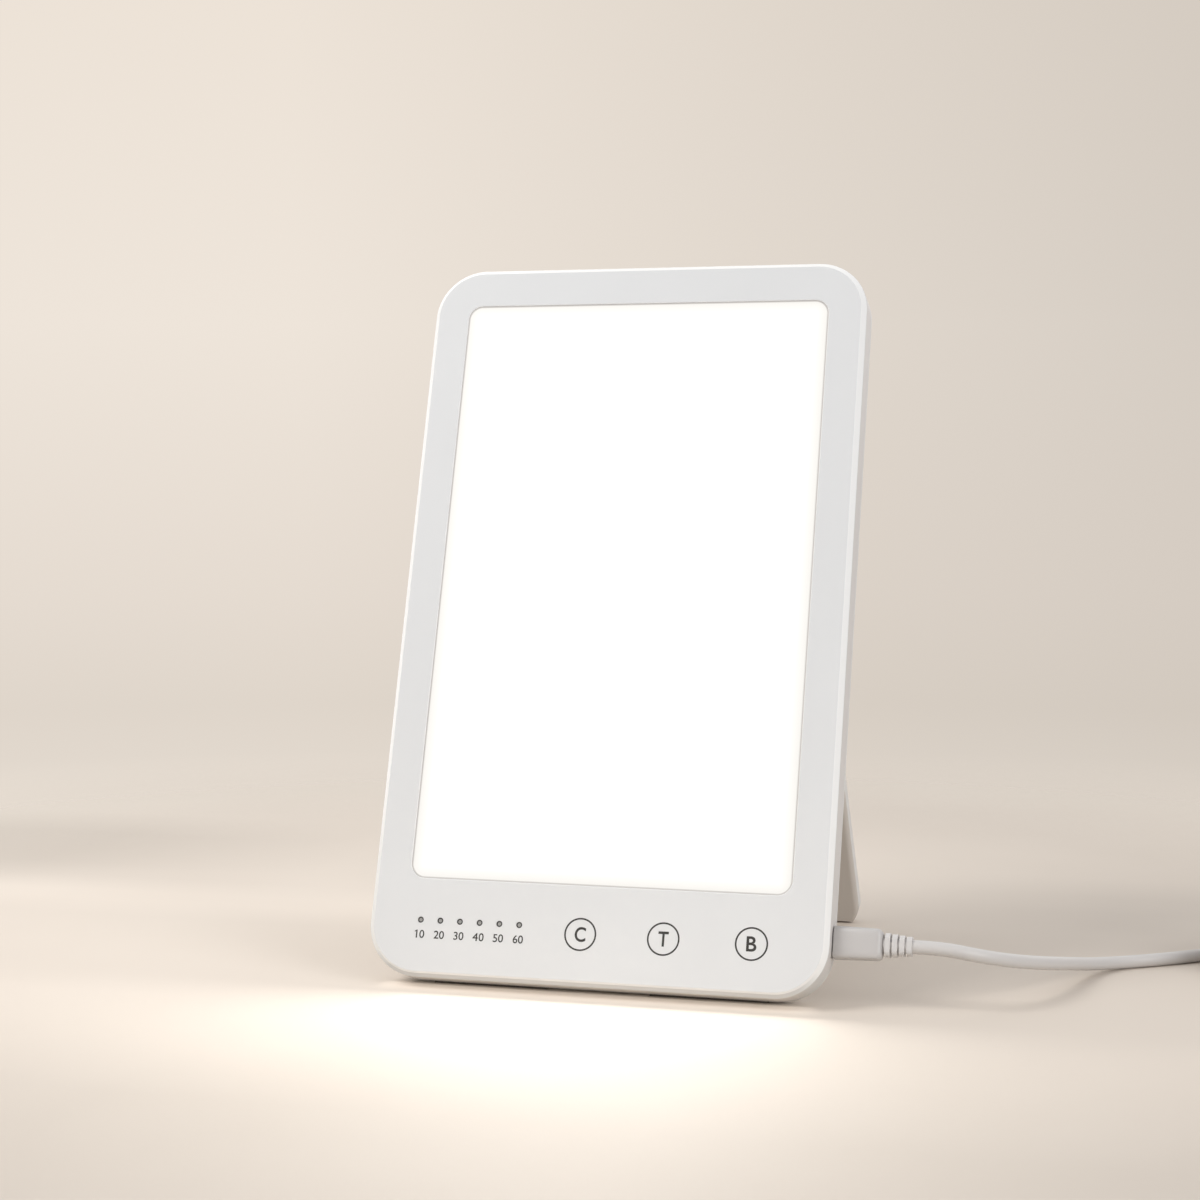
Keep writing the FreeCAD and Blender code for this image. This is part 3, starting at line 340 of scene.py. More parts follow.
def plug_section(x, inset):
    """Vertices of one section of the plug, square to its length, smaller by the inset all round."""
    half_width = PLUG_HALF_WIDTH - PLUG_TAPER * (x - plug_start) / (plug_end - plug_start) - inset
    half_thickness = PLUG_HALF_THICKNESS - inset
    section = []
    for index in range(SECTION_POINTS):
        angle = 2 * math.pi * index / SECTION_POINTS
        across, deep = math.cos(angle), math.sin(angle)
        across = math.copysign(abs(across) ** (2 / PLUG_EXPONENT), across) * half_width
        deep = math.copysign(abs(deep) ** (2 / PLUG_EXPONENT), deep) * half_thickness
        place = Vector((x, plug_middle.y, plug_middle.z)) + UP_PANEL * across + OUT_OF_FACE * deep
        section.append(place * MM)
    return section


# %% Join the plug's sections
stations = [(plug_start + from_start, inset) for from_start, inset in mouth_stations]
for index in range(ROUNDING_STEPS + 1):
    angle = math.radians(90 * index / ROUNDING_STEPS)
    stations.append((plug_end - PLUG_ROUNDING * (1 - math.sin(angle)), PLUG_ROUNDING * (1 - math.cos(angle))))
plug_vertices = [vertex for station in stations for vertex in plug_section(*station)]
plug_faces = section_faces(len(stations), SECTION_POINTS)
plug_block = mesh_object("plug_block", plug_vertices, plug_faces, smooth=True)
for polygon in list(plug_block.data.polygons)[-2:]:
    polygon.use_smooth = False
print("plug block:", len(plug_faces), "faces, from x =", round(plug_start, 1), "to", round(plug_end, 1))

# %% [markdown]
# ### Tell the frame about the lead
#
# Everything on the lead moves with the plug when it is pulled out. The curve stands for three CAD solids: the
# tube to the coil, the coil's plain ring and the tube to the far plug.

# %% The lead rides on its body
for piece in (supply_cord, coil_strap, strap_end, plug_block):
    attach(piece, "supply_lead")
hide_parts("plug_housing")
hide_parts("cord_lead", "cord_coil", "cord_tail")
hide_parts("coil_tie")

# %% [markdown]
# ## Printed marks
#
# The numbers under the dots, the key rings and their letters are screen-printed: ink a few hundredths of a
# millimetre thick, with sharp edges. A picture texture would blur when seen from near by, so the ink is real
# geometry. Rings are simple: two circles on two levels, joined by faces.

# %% Ink helpers
INK_LOW = 0.0
INK_HIGH = 0.02
marks = bmesh.new()


def print_ring(bm, u, v, outer_radius, line, segments=96):
    """A flat printed ring round a key."""
    loops = []
    for radius, level in ((outer_radius, INK_LOW), (outer_radius, INK_HIGH),
                          (outer_radius - line, INK_HIGH), (outer_radius - line, INK_LOW)):
        loops.append([bm.verts.new((u + radius * math.cos(2 * math.pi * index / segments),
                                    v + radius * math.sin(2 * math.pi * index / segments), level))
                      for index in range(segments)])
    for inner, outer in zip(loops, loops[1:] + loops[:1]):
        for index in range(segments):
            after = (index + 1) % segments
            bm.faces.new((inner[index], inner[after], outer[after], outer[index]))


def print_outline(bm, corners, u, v, height):
    """A flat printed shape from its outline, given in shares of the height."""
    low = [bm.verts.new((u + x * height, v + y * height, INK_LOW)) for x, y in corners]
    high = [bm.verts.new((u + x * height, v + y * height, INK_HIGH)) for x, y in corners]
    bm.faces.new(list(reversed(low)))
    bm.faces.new(high)
    for index in range(len(corners)):
        after = (index + 1) % len(corners)
        bm.faces.new((low[index], low[after], high[after], high[index]))


# %% [markdown]
# Blender has a clean sans-serif type built in, which is close to the lettering on such appliances. A text
# object is turned into a mesh, measured, and scaled to the height and width that are wanted. Its numeral one
# is a bare stroke and its four closes up when it is made bolder, so these two are drawn from listed outlines:
# the one with a small flag, and the four as a stem and a bent stroke that meet.

# %% Letters and numbers
def print_text(bm, text, u, v, height, width=None, weight=0.0):
    """Text printed with its middle at (u, v), as high as stated and, if width is stated, as wide."""
    type_data = bpy.data.curves.new("type", "FONT")
    type_data.body = text
    type_data.size = 1
    type_data.offset = weight
    type_data.resolution_u = 8
    type_data.extrude = 0.5
    type_object = bpy.data.objects.new("type", type_data)
    scene.collection.objects.link(type_object)
    bpy.context.view_layer.update()
    evaluated = type_object.evaluated_get(bpy.context.evaluated_depsgraph_get())
    outline = bpy.data.meshes.new_from_object(evaluated)
    low = Vector([min(vertex.co[axis] for vertex in outline.vertices) for axis in range(3)])
    high = Vector([max(vertex.co[axis] for vertex in outline.vertices) for axis in range(3)])
    size = high - low
    tall = height / size.y
    wide = width / size.x if width else tall
    middle = (low + high) / 2
    for vertex in outline.vertices:
        vertex.co = (u + (vertex.co.x - middle.x) * wide, v + (vertex.co.y - middle.y) * tall,
                     INK_HIGH if vertex.co.z > 0 else INK_LOW)
    bm.from_mesh(outline)
    bpy.data.objects.remove(type_object)
    bpy.data.curves.remove(type_data)
    bpy.data.meshes.remove(outline)
    return size.x * wide


# %% Print the numbers under the dots
DOT_PLACES = [-54.4 + 6.27 * index for index in range(6)]
NUMBER_LEVEL = 12.78
NUMBER_HEIGHT = 2.45
NUMBER_WEIGHT = 0.010
flagged_one = [(0.0, 0.0), (0.17, 0.0), (0.17, 1.0), (0.05, 1.0), (-0.18, 0.86), (-0.18, 0.72), (0.0, 0.83)]
four_stem = [(0.417, 0.0), (0.593, 0.0), (0.593, 0.307), (0.692, 0.307), (0.692, 0.469), (0.593, 0.469),
             (0.593, 1.0), (0.499, 1.0), (0.417, 0.901)]
four_stroke = [(0.0, 0.307), (0.417, 0.307), (0.417, 0.469), (0.243, 0.469), (0.417, 0.680), (0.417, 0.901),
               (0.0, 0.398)]
# first digit: its outlines, their place and the place of the zero beside it, in shares of the height
hand_drawn = {"1": ([flagged_one], -0.44, 0.32), "4": ([four_stem, four_stroke], -0.73, 0.385)}
for index, u in enumerate(DOT_PLACES):
    number = str(10 * (index + 1))
    if number[0] in hand_drawn:
        outlines, start, zero = hand_drawn[number[0]]
        for outline in outlines:
            print_outline(marks, outline, u + start * NUMBER_HEIGHT, NUMBER_LEVEL - NUMBER_HEIGHT / 2,
                          NUMBER_HEIGHT)
        print_text(marks, "0", u + zero * NUMBER_HEIGHT, NUMBER_LEVEL, NUMBER_HEIGHT, weight=NUMBER_WEIGHT)
    else:
        wide = print_text(marks, number, u, NUMBER_LEVEL, NUMBER_HEIGHT, weight=NUMBER_WEIGHT)
print("a number is", round(wide, 2), "mm wide")

# %% Print the keys
KEY_LEVEL = 15.3
KEY_RADIUS = 4.95
KEY_LINE = 0.5
LETTER_HEIGHT = 4.45
LETTER_WEIGHT = 0.017
key_letters = [("C", -3.8, 3.4), ("T", 21.7, 3.15), ("B", 48.25, 3.05)]
for letter, u, width in key_letters:
    print_ring(marks, u, KEY_LEVEL, KEY_RADIUS, KEY_LINE)
    print_text(marks, letter, u, KEY_LEVEL, LETTER_HEIGHT, width, weight=LETTER_WEIGHT)
bmesh.ops.recalc_face_normals(marks, faces=marks.faces)
bmesh.ops.transform(marks, matrix=panel_matrix, verts=marks.verts)
marks_mesh = bpy.data.meshes.new("printed_marks")
marks.to_mesh(marks_mesh)
marks.free()
printed_marks = bpy.data.objects.new("printed_marks", marks_mesh)
scene.collection.objects.link(printed_marks)
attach(printed_marks, "panel")
print("printed marks:", len(marks_mesh.polygons), "faces")

# %% [markdown]
# ## Finishes
#
# A finish is a small network of shader nodes. The Principled shader describes the surface, and noise textures
# give it the unevenness that real material has: a fine grain in moulded plastic, faint clouds in its colour
# and patches that are a little smoother than others. All textures read the Object coordinates, which are in
# metres here, so a scale of 2500 means a grain of 0.4 mm, and the grain stays on its piece when it moves.
#
# Every node is made by the same moves: create it, choose its operation, feed its inputs. One helper does them
# for the finishes and for the world, and a few shorter ones stand on it.

# %% Helpers for nodes
def feed(owner, socket, value):
    """Give a socket a plain value, or join it to what another node puts out."""
    if isinstance(value, bpy.types.NodeSocket):
        owner.node_tree.links.new(value, socket)
    else:
        socket.default_value = value


def add_node(owner, kind, inputs, operation=None, data_type=None):
    """A node of a finish or of the world, with what each of its inputs is fed."""
    node = owner.node_tree.nodes.new(kind)
    if operation:
        node.operation = operation
    if data_type:
        node.data_type = data_type
    for name, value in inputs.items():
        feed(owner, node.inputs[name], value)
    return node


def add_math(owner, operation, *values):
    return add_node(owner, "ShaderNodeMath", dict(enumerate(values)), operation).outputs[0]


def add_measure(owner, operation, vector, other):
    """A number from two vectors: their dot product or their distance."""
    return add_node(owner, "ShaderNodeVectorMath", {0: vector, 1: other}, operation).outputs["Value"]


def add_range(owner, value, from_low, from_high, to_low=0.0, to_high=1.0):
    """Map a value from one range to another. Any end may itself come from a node."""
    return add_node(owner, "ShaderNodeMapRange", {
        "Value": value, "From Min": from_low, "From Max": from_high,
        "To Min": to_low, "To Max": to_high}).outputs["Result"]


def add_noise(owner, place, scale, detail=2.0):
    return add_node(owner, "ShaderNodeTexNoise", {
        "Vector": place, "Scale": scale, "Detail": detail}).outputs["Fac"]


def add_ramp(owner, value, stops):
    """Turn a value from 0 to 1 into a colour, by stops of (position, colour)."""
    ramp = add_node(owner, "ShaderNodeValToRGB", {"Fac": value})
    elements = ramp.color_ramp.elements
    while len(elements) < len(stops):
        elements.new(0.5)
    for element, (position, colour) in zip(elements, stops):
        element.position = position
        element.color = (*colour, 1)
    return ramp.outputs["Color"]


# %% Helpers for finishes
def new_finish(name, colour, roughness):
    """A material with a Principled shader and object coordinates, ready for its own nodes."""
    finish = bpy.data.materials.new(name)
    finish.use_nodes = True
    finish.diffuse_color = (*colour, 1)
    shader = finish.node_tree.nodes["Principled BSDF"]
    shader.inputs["Base Color"].default_value = (*colour, 1)
    shader.inputs["Roughness"].default_value = roughness
    place = add_node(finish, "ShaderNodeTexCoord", {}).outputs["Object"]
    return finish, shader, place


def add_bump(finish, shader, height, distance, strength):
    bump = add_node(finish, "ShaderNodeBump", {
        "Height": height, "Distance": distance, "Strength": strength})
    feed(finish, shader.inputs["Normal"], bump.outputs["Normal"])


# %% [markdown]
# ### Moulded plastic
#
# The housing, the cover, the leg and the plugs are all moulded. The steel mould is spark-eroded, which leaves
# a satin grain of a few tenths of a millimetre. One function makes all of these finishes, with another colour,
# gloss and grain for each.

# %% Moulded plastic
CLOUD_SCALE = 22.0
CLOUD_DARK, CLOUD_PALE = 0.985, 1.01
PATCH_SCALE = 60.0
PATCH_SPREAD = 0.04
GRAIN_STRENGTH = 0.35
PLASTIC_IOR = 1.52


def moulded_plastic(name, colour, roughness, grain, depth):
    """Satin plastic, with the width and the depth of its grain in millimetres."""
    finish, shader, place = new_finish(name, colour, roughness)
    shade = add_ramp(finish, add_noise(finish, place, CLOUD_SCALE), [
        (0.3, [value * CLOUD_DARK for value in colour]),
        (0.7, [min(value * CLOUD_PALE, 1.0) for value in colour])])
    feed(finish, shader.inputs["Base Color"], shade)
    patches = add_noise(finish, place, PATCH_SCALE, 3.0)
    feed(finish, shader.inputs["Roughness"],
         add_range(finish, patches, 0.0, 1.0, roughness - PATCH_SPREAD, roughness + PATCH_SPREAD))
    add_bump(finish, shader, add_noise(finish, place, 1 / (grain * MM), 1.0), depth * MM, GRAIN_STRENGTH)
    shader.inputs["IOR"].default_value = PLASTIC_IOR
    return finish


housing_white = moulded_plastic("housing_white", (0.755, 0.763, 0.772), 0.42, 0.45, 0.012)
cover_white = moulded_plastic("cover_white", (0.77, 0.765, 0.755), 0.5, 0.5, 0.02)
leg_white = moulded_plastic("leg_white", (0.76, 0.745, 0.73), 0.48, 0.5, 0.015)
# the leg's inner shell is painted darker than the outer one: painted shade of the wedge between panel and leg
leg_inner_painted_shade = moulded_plastic("leg_inner_painted_shade", (0.60, 0.55, 0.50), 0.55, 0.5, 0.015)
plug_white = moulded_plastic("plug_white", (0.55, 0.535, 0.53), 0.36, 0.5, 0.006)
relief_white = moulded_plastic("relief_white", (0.66, 0.645, 0.64), 0.36, 0.5, 0.006)
cord_white = moulded_plastic("cord_white", (0.63, 0.61, 0.60), 0.38, 0.8, 0.008)
inner_white = moulded_plastic("inner_white", (0.85, 0.85, 0.84), 0.4, 0.6, 0.005)
black_plastic = moulded_plastic("black_plastic", (0.05, 0.05, 0.052), 0.55, 0.4, 0.01)
chip_black = moulded_plastic("chip_black", (0.03, 0.03, 0.032), 0.5, 0.15, 0.01)
ferrite_grey = moulded_plastic("ferrite_grey", (0.10, 0.10, 0.105), 0.7, 0.2, 0.02)
bearing_white = moulded_plastic("bearing_white", (0.82, 0.82, 0.79), 0.35, 0.5, 0.004)
grey_rubber = moulded_plastic("grey_rubber", (0.12, 0.105, 0.09), 0.8, 0.3, 0.03)
print("moulded finishes:", len(bpy.data.materials))

# %% [markdown]
# ### The bright chamfer
#
# Round its face the housing has a narrow chamfer. It gets a painted highlight: its colour is painted paler than
# the satin face, and a lower roughness makes it glossier. The side walls get painted shade, a shade greyer than
# the face. No cut in the mesh is needed to tell them apart. The dot product of the normal with the face's own
# direction does it: it is 1 on the face, about 0.7 on the chamfer and 0 on the walls.

# %% Find the chamfer and the walls of the housing
# the chamfer's painted highlight and roughness, and the walls' painted shade
CHAMFER_PAINTED_HIGHLIGHT = (0.93, 0.93, 0.925)
CHAMFER_ROUGHNESS = (0.3, 0.3, 0.3)
WALL_PAINTED_SHADE = (0.70, 0.678, 0.668)
NO, YES = (0, 0, 0), (1, 1, 1)


def housing_dot(socket_name, direction):
    """How far a vector of the surface, its normal or its place, reaches along a direction."""
    vector = housing_white.node_tree.nodes["Texture Coordinate"].outputs[socket_name]
    return add_measure(housing_white, "DOT_PRODUCT", vector, direction)


facing = housing_dot("Normal", OUT_OF_FACE)
on_chamfer = add_ramp(housing_white, facing, [(0.50, NO), (0.60, YES), (0.86, YES), (0.95, NO)])
on_wall = add_ramp(housing_white, facing, [(0.15, YES), (0.45, NO)])


# %% Paint a highlight and a lower roughness on the one, and shade on the other
def override_where_masked(mask, socket_name, value):
    """Replace a socket's value where the mask is 1, and keep what feeds it elsewhere."""
    socket = housing_white.node_tree.nodes["Principled BSDF"].inputs[socket_name]
    blend = add_node(housing_white, "ShaderNodeMix", {
        "Factor": mask, "A": socket.links[0].from_socket, "B": (*value, 1)}, data_type="RGBA")
    feed(housing_white, socket, blend.outputs["Result"])


# painted highlight and lower roughness on the chamfer, painted shade on the side walls
override_where_masked(on_chamfer, "Base Color", CHAMFER_PAINTED_HIGHLIGHT)
override_where_masked(on_chamfer, "Roughness", CHAMFER_ROUGHNESS)
override_where_masked(on_wall, "Base Color", WALL_PAINTED_SHADE)

# %% [markdown]
# Along the bottom edge only the first half millimetre of the chamfer keeps the painted highlight. Below it,
# where the chamfer faces down, painted shade takes its place. That part is where the normal points down the
# panel and the surface lies deeper than half a millimetre.

# %% Painted shade on the lower part of the bottom chamfer
LIP_PAINTED_SHADE = (0.71, 0.71, 0.705)
LIP_START = 0.45
LIP_FULL = 0.65
face_level = EDGE.dot(OUT_OF_FACE)
deep_enough = add_range(housing_white, housing_dot("Object", OUT_OF_FACE),
                        face_level - LIP_START * MM, face_level - LIP_FULL * MM)
faces_down = add_ramp(housing_white, housing_dot("Normal", -UP_PANEL), [
    (0.35, NO), (0.60, YES), (0.80, YES), (0.90, NO)])
# painted shade where the bottom chamfer faces down, below its first half millimetre
override_where_masked(add_math(housing_white, "MULTIPLY", deep_enough, faces_down), "Base Color", LIP_PAINTED_SHADE)
print("nodes in the housing's finish:", len(housing_white.node_tree.nodes))

# %% [markdown]
# ### The lit window
#
# Behind the opal sheet a light guide spreads the light of the LEDs, and it comes out even, a touch dimmer and
# warmer in the last few millimetres before the frame. The emission's colour is worked out from the distance
# to the window's edge: dot products give the distances to its four sides, and near a corner, where the edge is
# an arc, the distance to the arc's middle takes over.

# %% Distance to the window's edge
WINDOW_HALF = 59.2 * MM
WINDOW_LOW = 29.9 * MM
WINDOW_HIGH = 217.1 * MM
WINDOW_RADIUS = 4.5 * MM
opal_sheet, opal_shader, opal_place = new_finish("opal_sheet", (0.10, 0.10, 0.098), 0.4)


def opal_math(operation, *values):
    return add_math(opal_sheet, operation, *values)


def opal_distance(direction, offset):
    """How far a point lies along a direction from the panel's lower edge, less an offset."""
    reach = add_measure(opal_sheet, "DOT_PRODUCT", opal_place, direction)
    return opal_math("ADD", reach, -EDGE.dot(direction) - offset)


def past_radius(distance):
    """How far a point is inside the strip along an edge that is as wide as the corner's radius."""
    return opal_math("MAXIMUM", opal_math("SUBTRACT", WINDOW_RADIUS, distance), 0.0)


from_side = opal_math("MINIMUM", opal_distance(Vector((1, 0, 0)), -WINDOW_HALF),
                      opal_distance(Vector((-1, 0, 0)), -WINDOW_HALF))
from_bottom = opal_distance(UP_PANEL, WINDOW_LOW)
from_end = opal_math("MINIMUM", from_bottom, opal_math("SUBTRACT", WINDOW_HIGH - WINDOW_LOW, from_bottom))
past_side, past_end = past_radius(from_side), past_radius(from_end)
past_corner = opal_math("SQRT", opal_math("ADD", opal_math("MULTIPLY", past_side, past_side),
                                          opal_math("MULTIPLY", past_end, past_end)))
nearest = opal_math("MINIMUM", from_side, from_end)
beyond_radius = opal_math("MAXIMUM", opal_math("SUBTRACT", nearest, WINDOW_RADIUS), 0.0)
from_edge = opal_math("ADD", opal_math("SUBTRACT", WINDOW_RADIUS, past_corner), beyond_radius)

# %% Glow of the opal sheet
GLOW_REACH = 16.0
GLOW_STRENGTH = 2.4
# the first stops, within about half a millimetre of the frame, paint a dark line into the glow: painted shade
# where the frame's edge meets the sheet
glow_stops = [
    (0.000, (0.20, 0.19, 0.18)),
    (0.022, (0.22, 0.21, 0.20)),
    (0.035, (0.345, 0.337, 0.32)),
    (0.20, (0.378, 0.373, 0.362)),
    (0.40, (0.43, 0.427, 0.415)),
    (1.00, (1.0, 0.99, 0.97)),
]
glow = add_ramp(opal_sheet, opal_math("DIVIDE", from_edge, GLOW_REACH * MM), glow_stops)
feed(opal_sheet, opal_shader.inputs["Emission Color"], glow)
opal_shader.inputs["Emission Strength"].default_value = GLOW_STRENGTH
print("opal sheet: glow fades within", GLOW_REACH, "mm of the frame")

# %% [markdown]
# ### Printed ink and clear pins
#
# Ink is dark grey and nearly matt, with the slight thinning that real screen print shows. The light pipes look
# pale grey while they are off, and a dark sleeve round each keeps its light from its neighbours.

# %% Ink and pins
ink_grey, ink_shader, ink_place = new_finish("ink_grey", (0.03, 0.029, 0.028), 0.5)
ink_tone = add_ramp(ink_grey, add_noise(ink_grey, ink_place, 900.0), [
    (0.3, (0.024, 0.023, 0.022)), (0.75, (0.04, 0.039, 0.038))])
feed(ink_grey, ink_shader.inputs["Base Color"], ink_tone)
dot_sleeve = moulded_plastic("dot_sleeve", (0.032, 0.032, 0.033), 0.5, 0.3, 0.008)
pin_clear = moulded_plastic("pin_clear", (0.36, 0.36, 0.35), 0.25, 0.6, 0.003)

# %% [markdown]
# ### The parts inside
#
# The rest is inside the case, and is seen only through the socket and the slots of the cover, but each part
# still gets its own finish. Plated, ground and rolled metal all show fine lines: that is noise squeezed along
# two directions and stretched along the third. The copper tracks of a board show through its solder mask as
# slightly paler bands, and a brick pattern stands for them.

# %% Plated and brushed metal
METAL_SMOOTHER, METAL_ROUGHER = 0.08, 0.1
LINE_DEPTH = 0.004


def brushed_metal(name, colour, roughness, stretch):
    finish, shader, place = new_finish(name, colour, roughness)
    mapping = add_node(finish, "ShaderNodeMapping", {"Vector": place, "Scale": stretch})
    lines = add_noise(finish, mapping.outputs["Vector"], 1.0, 4.0)
    feed(finish, shader.inputs["Roughness"],
         add_range(finish, lines, 0.0, 1.0, roughness - METAL_SMOOTHER, roughness + METAL_ROUGHER))
    add_bump(finish, shader, lines, LINE_DEPTH * MM, 0.4)
    shader.inputs["Metallic"].default_value = 1.0
    return finish


plated_shell = brushed_metal("plated_shell", (0.74, 0.74, 0.75), 0.28, (300, 6000, 6000))
zinc_screw = brushed_metal("zinc_screw", (0.66, 0.67, 0.69), 0.35, (5000, 5000, 5000))
ground_pin = brushed_metal("ground_pin", (0.7, 0.7, 0.71), 0.3, (300, 7000, 7000))
aluminium_pan = brushed_metal("aluminium_pan", (0.8, 0.81, 0.82), 0.4, (4000, 200, 4000))


# %% Circuit boards and what is on them
def board_mask(name, mask, track, roughness):
    finish, shader, place = new_finish(name, mask, roughness)
    tracks = add_node(finish, "ShaderNodeTexBrick", {
        "Vector": place, "Scale": 260.0, "Mortar Size": 0.06, "Mortar": (*track, 1),
        "Color1": (*mask, 1), "Color2": (*[value * 0.9 for value in mask], 1)})
    feed(finish, shader.inputs["Base Color"], tracks.outputs["Color"])
    shader.inputs["Coat Weight"].default_value = 0.5
    return finish


green_board = board_mask("green_board", (0.02, 0.16, 0.07), (0.06, 0.3, 0.13), 0.35)
white_board = board_mask("white_board", (0.82, 0.82, 0.8), (0.7, 0.66, 0.55), 0.4)
amber_jumper = board_mask("amber_jumper", (0.5, 0.24, 0.05), (0.65, 0.36, 0.1), 0.3)
phosphor = moulded_plastic("phosphor", (0.9, 0.78, 0.3), 0.35, 0.2, 0.004)
clear_resin = moulded_plastic("clear_resin", (0.75, 0.8, 0.75), 0.15, 0.3, 0.002)
ceramic = moulded_plastic("ceramic", (0.5, 0.36, 0.2), 0.6, 0.15, 0.006)
foam_grey = moulded_plastic("foam_grey", (0.16, 0.16, 0.165), 0.9, 0.5, 0.08)
acrylic = moulded_plastic("acrylic", (0.8, 0.86, 0.87), 0.08, 0.9, 0.001)
print("finishes so far:", len(bpy.data.materials))

# %% [markdown]
# ### The woven tie
#
# The tie is woven: threads pass over and under each other in two directions. Two wave textures, one for each
# direction, multiplied together, give the small raised crossings.

# %% Woven tie
woven_tie, woven_shader, woven_place = new_finish("woven_tie", (0.06, 0.06, 0.065), 0.85)
threads = []
for direction in ("X", "Z"):
    wave = add_node(woven_tie, "ShaderNodeTexWave", {
        "Vector": woven_place, "Scale": 420.0, "Distortion": 0.6})
    wave.bands_direction = direction
    threads.append(wave.outputs["Fac"])
crossing = add_math(woven_tie, "MULTIPLY", *threads)
woven_tone = add_ramp(woven_tie, crossing, [(0.0, (0.03, 0.03, 0.033)), (0.8, (0.11, 0.11, 0.115))])
feed(woven_tie, woven_shader.inputs["Base Color"], woven_tone)
add_bump(woven_tie, woven_shader, crossing, 0.15 * MM, 0.6)
woven_shader.inputs["Sheen Weight"].default_value = 0.3

# %% [markdown]
# ## Dress the pieces
#
# A CAD piece keeps its shape and takes a finish in its first material slot. A list of pairs keeps this in one
# place, and the last line checks that no node was forgotten.

# %% Give every node its finish
node_finishes = {
    "front_housing": housing_white, "back_cover": cover_white, "diffuser_panel": opal_sheet,
    "light_guide": acrylic, "reflector_sheet": inner_white, "heat_spreader": aluminium_pan,
    "led_strip_boards": white_board, "strip_leds": phosphor, "led_jumpers": amber_jumper,
    "control_board": green_board, "board_screws": zinc_screw, "control_chips": chip_black,
    "driver_inductor": ferrite_grey, "board_capacitors": ceramic, "touch_pads": foam_grey,
    "indicator_guard": dot_sleeve, "indicator_light_pipes": pin_clear, "indicator_leds": clear_resin,
    "supply_socket": plated_shell, "socket_tongue": black_plastic, "case_screws": zinc_screw,
    "back_bumpers": grey_rubber, "base_feet": grey_rubber, "hinge_pins": ground_pin,
    "hinge_washers": bearing_white, "leg_outer_shell": leg_white, "leg_inner_shell": leg_inner_painted_shade,
    "leg_foot_pad": grey_rubber, "leg_screws": zinc_screw, "hinge_bushes": bearing_white,
    "plug_housing": plug_white, "plug_tip": plated_shell, "strain_relief": relief_white,
    "cord_lead": cord_white, "cord_coil": cord_white, "cord_tail": cord_white, "coil_tie": woven_tie,
    "far_relief": plug_white, "far_plug_housing": plug_white, "far_plug_shell": plated_shell,
    "far_plug_block": inner_white,
}


def wear(piece, finish):
    """Put one finish on the whole piece."""
    piece.data.materials.clear()
    piece.data.materials.append(finish)


for name, finish in node_finishes.items():
    wear(nodes[name], finish)
for piece, finish in ((supply_cord, cord_white), (coil_strap, woven_tie), (strap_end, woven_tie),
                      (printed_marks, ink_grey), (plug_block, plug_white)):
    wear(piece, finish)
print("nodes without a finish:", sorted(set(nodes) - set(node_finishes)))

# %% [markdown]
# New pieces get their finishes in the same way, in the second loop above.

# %% [markdown]
# ## The floor
#
# The lamp stands on a plain pale table. Only the part near the lamp has to be real, to take its shadow and
# the glow of the window. Further out the table fades into the backdrop, so that no edge shows from any side.
# The fade is a mix with the Transparent shader, by the distance from the lamp.
#
# A camera meets the table's pale colour. Light that bounces off it meets a browner one, so that the lamp isn't
# lit from below more than it would be in a real room. Light Path tells the two kinds of rays apart.

# %% Which rays see a colour directly
def seen_directly(owner):
    """1 for rays from the camera and for rays that metal or glass sends on, 0 for all other rays."""
    light_path = add_node(owner, "ShaderNodeLightPath", {})
    seen = light_path.outputs["Is Camera Ray"]
    for ray in ("Is Glossy Ray", "Is Transmission Ray"):
        seen = add_math(owner, "MAXIMUM", seen, light_path.outputs[ray])
    return seen


# %% Table top
FLOOR_RADIUS = 0.75
FLOOR_SIDES = 128
floor_rim = []
for index in range(FLOOR_SIDES):
    angle = 2 * math.pi * index / FLOOR_SIDES
    floor_rim.append((FLOOR_RADIUS * math.cos(angle), FLOOR_RADIUS * math.sin(angle), 0))
table_top = mesh_object("table_top", floor_rim, [tuple(range(FLOOR_SIDES))])
table_finish, table_shader, table_place = new_finish("pale_table", (0.86, 0.77, 0.68), 0.75)
table_tone = add_ramp(table_finish, add_noise(table_finish, table_place, 7.0, 3.0), [
    (0.3, (0.865, 0.775, 0.685)), (0.7, (0.895, 0.805, 0.715))])
print("table top:", 2 * FLOOR_RADIUS, "m across")

# %% [markdown]
# No real table is lit evenly, so light and shade are painted into this one's tone. It is multiplied by a few
# shares that depend on the place: the painted light is brightest to the left of the lamp and fades slowly from
# there, painted shade darkens its front at both sides of the window's pool, and broad faint bands of painted
# light and shade lie across it behind the lamp, as a window's bars and curtains throw them.

# %% Helpers for places on the table
table_axes = add_node(table_finish, "ShaderNodeSeparateXYZ", {"Vector": table_place})
table_x, table_y = table_axes.outputs["X"], table_axes.outputs["Y"]


def table_range(*values):
    return add_range(table_finish, *values)


def away_from(value, middle):
    """How far a value is from a middle, on either side."""
    return add_math(table_finish, "ABSOLUTE", add_math(table_finish, "SUBTRACT", value, middle))


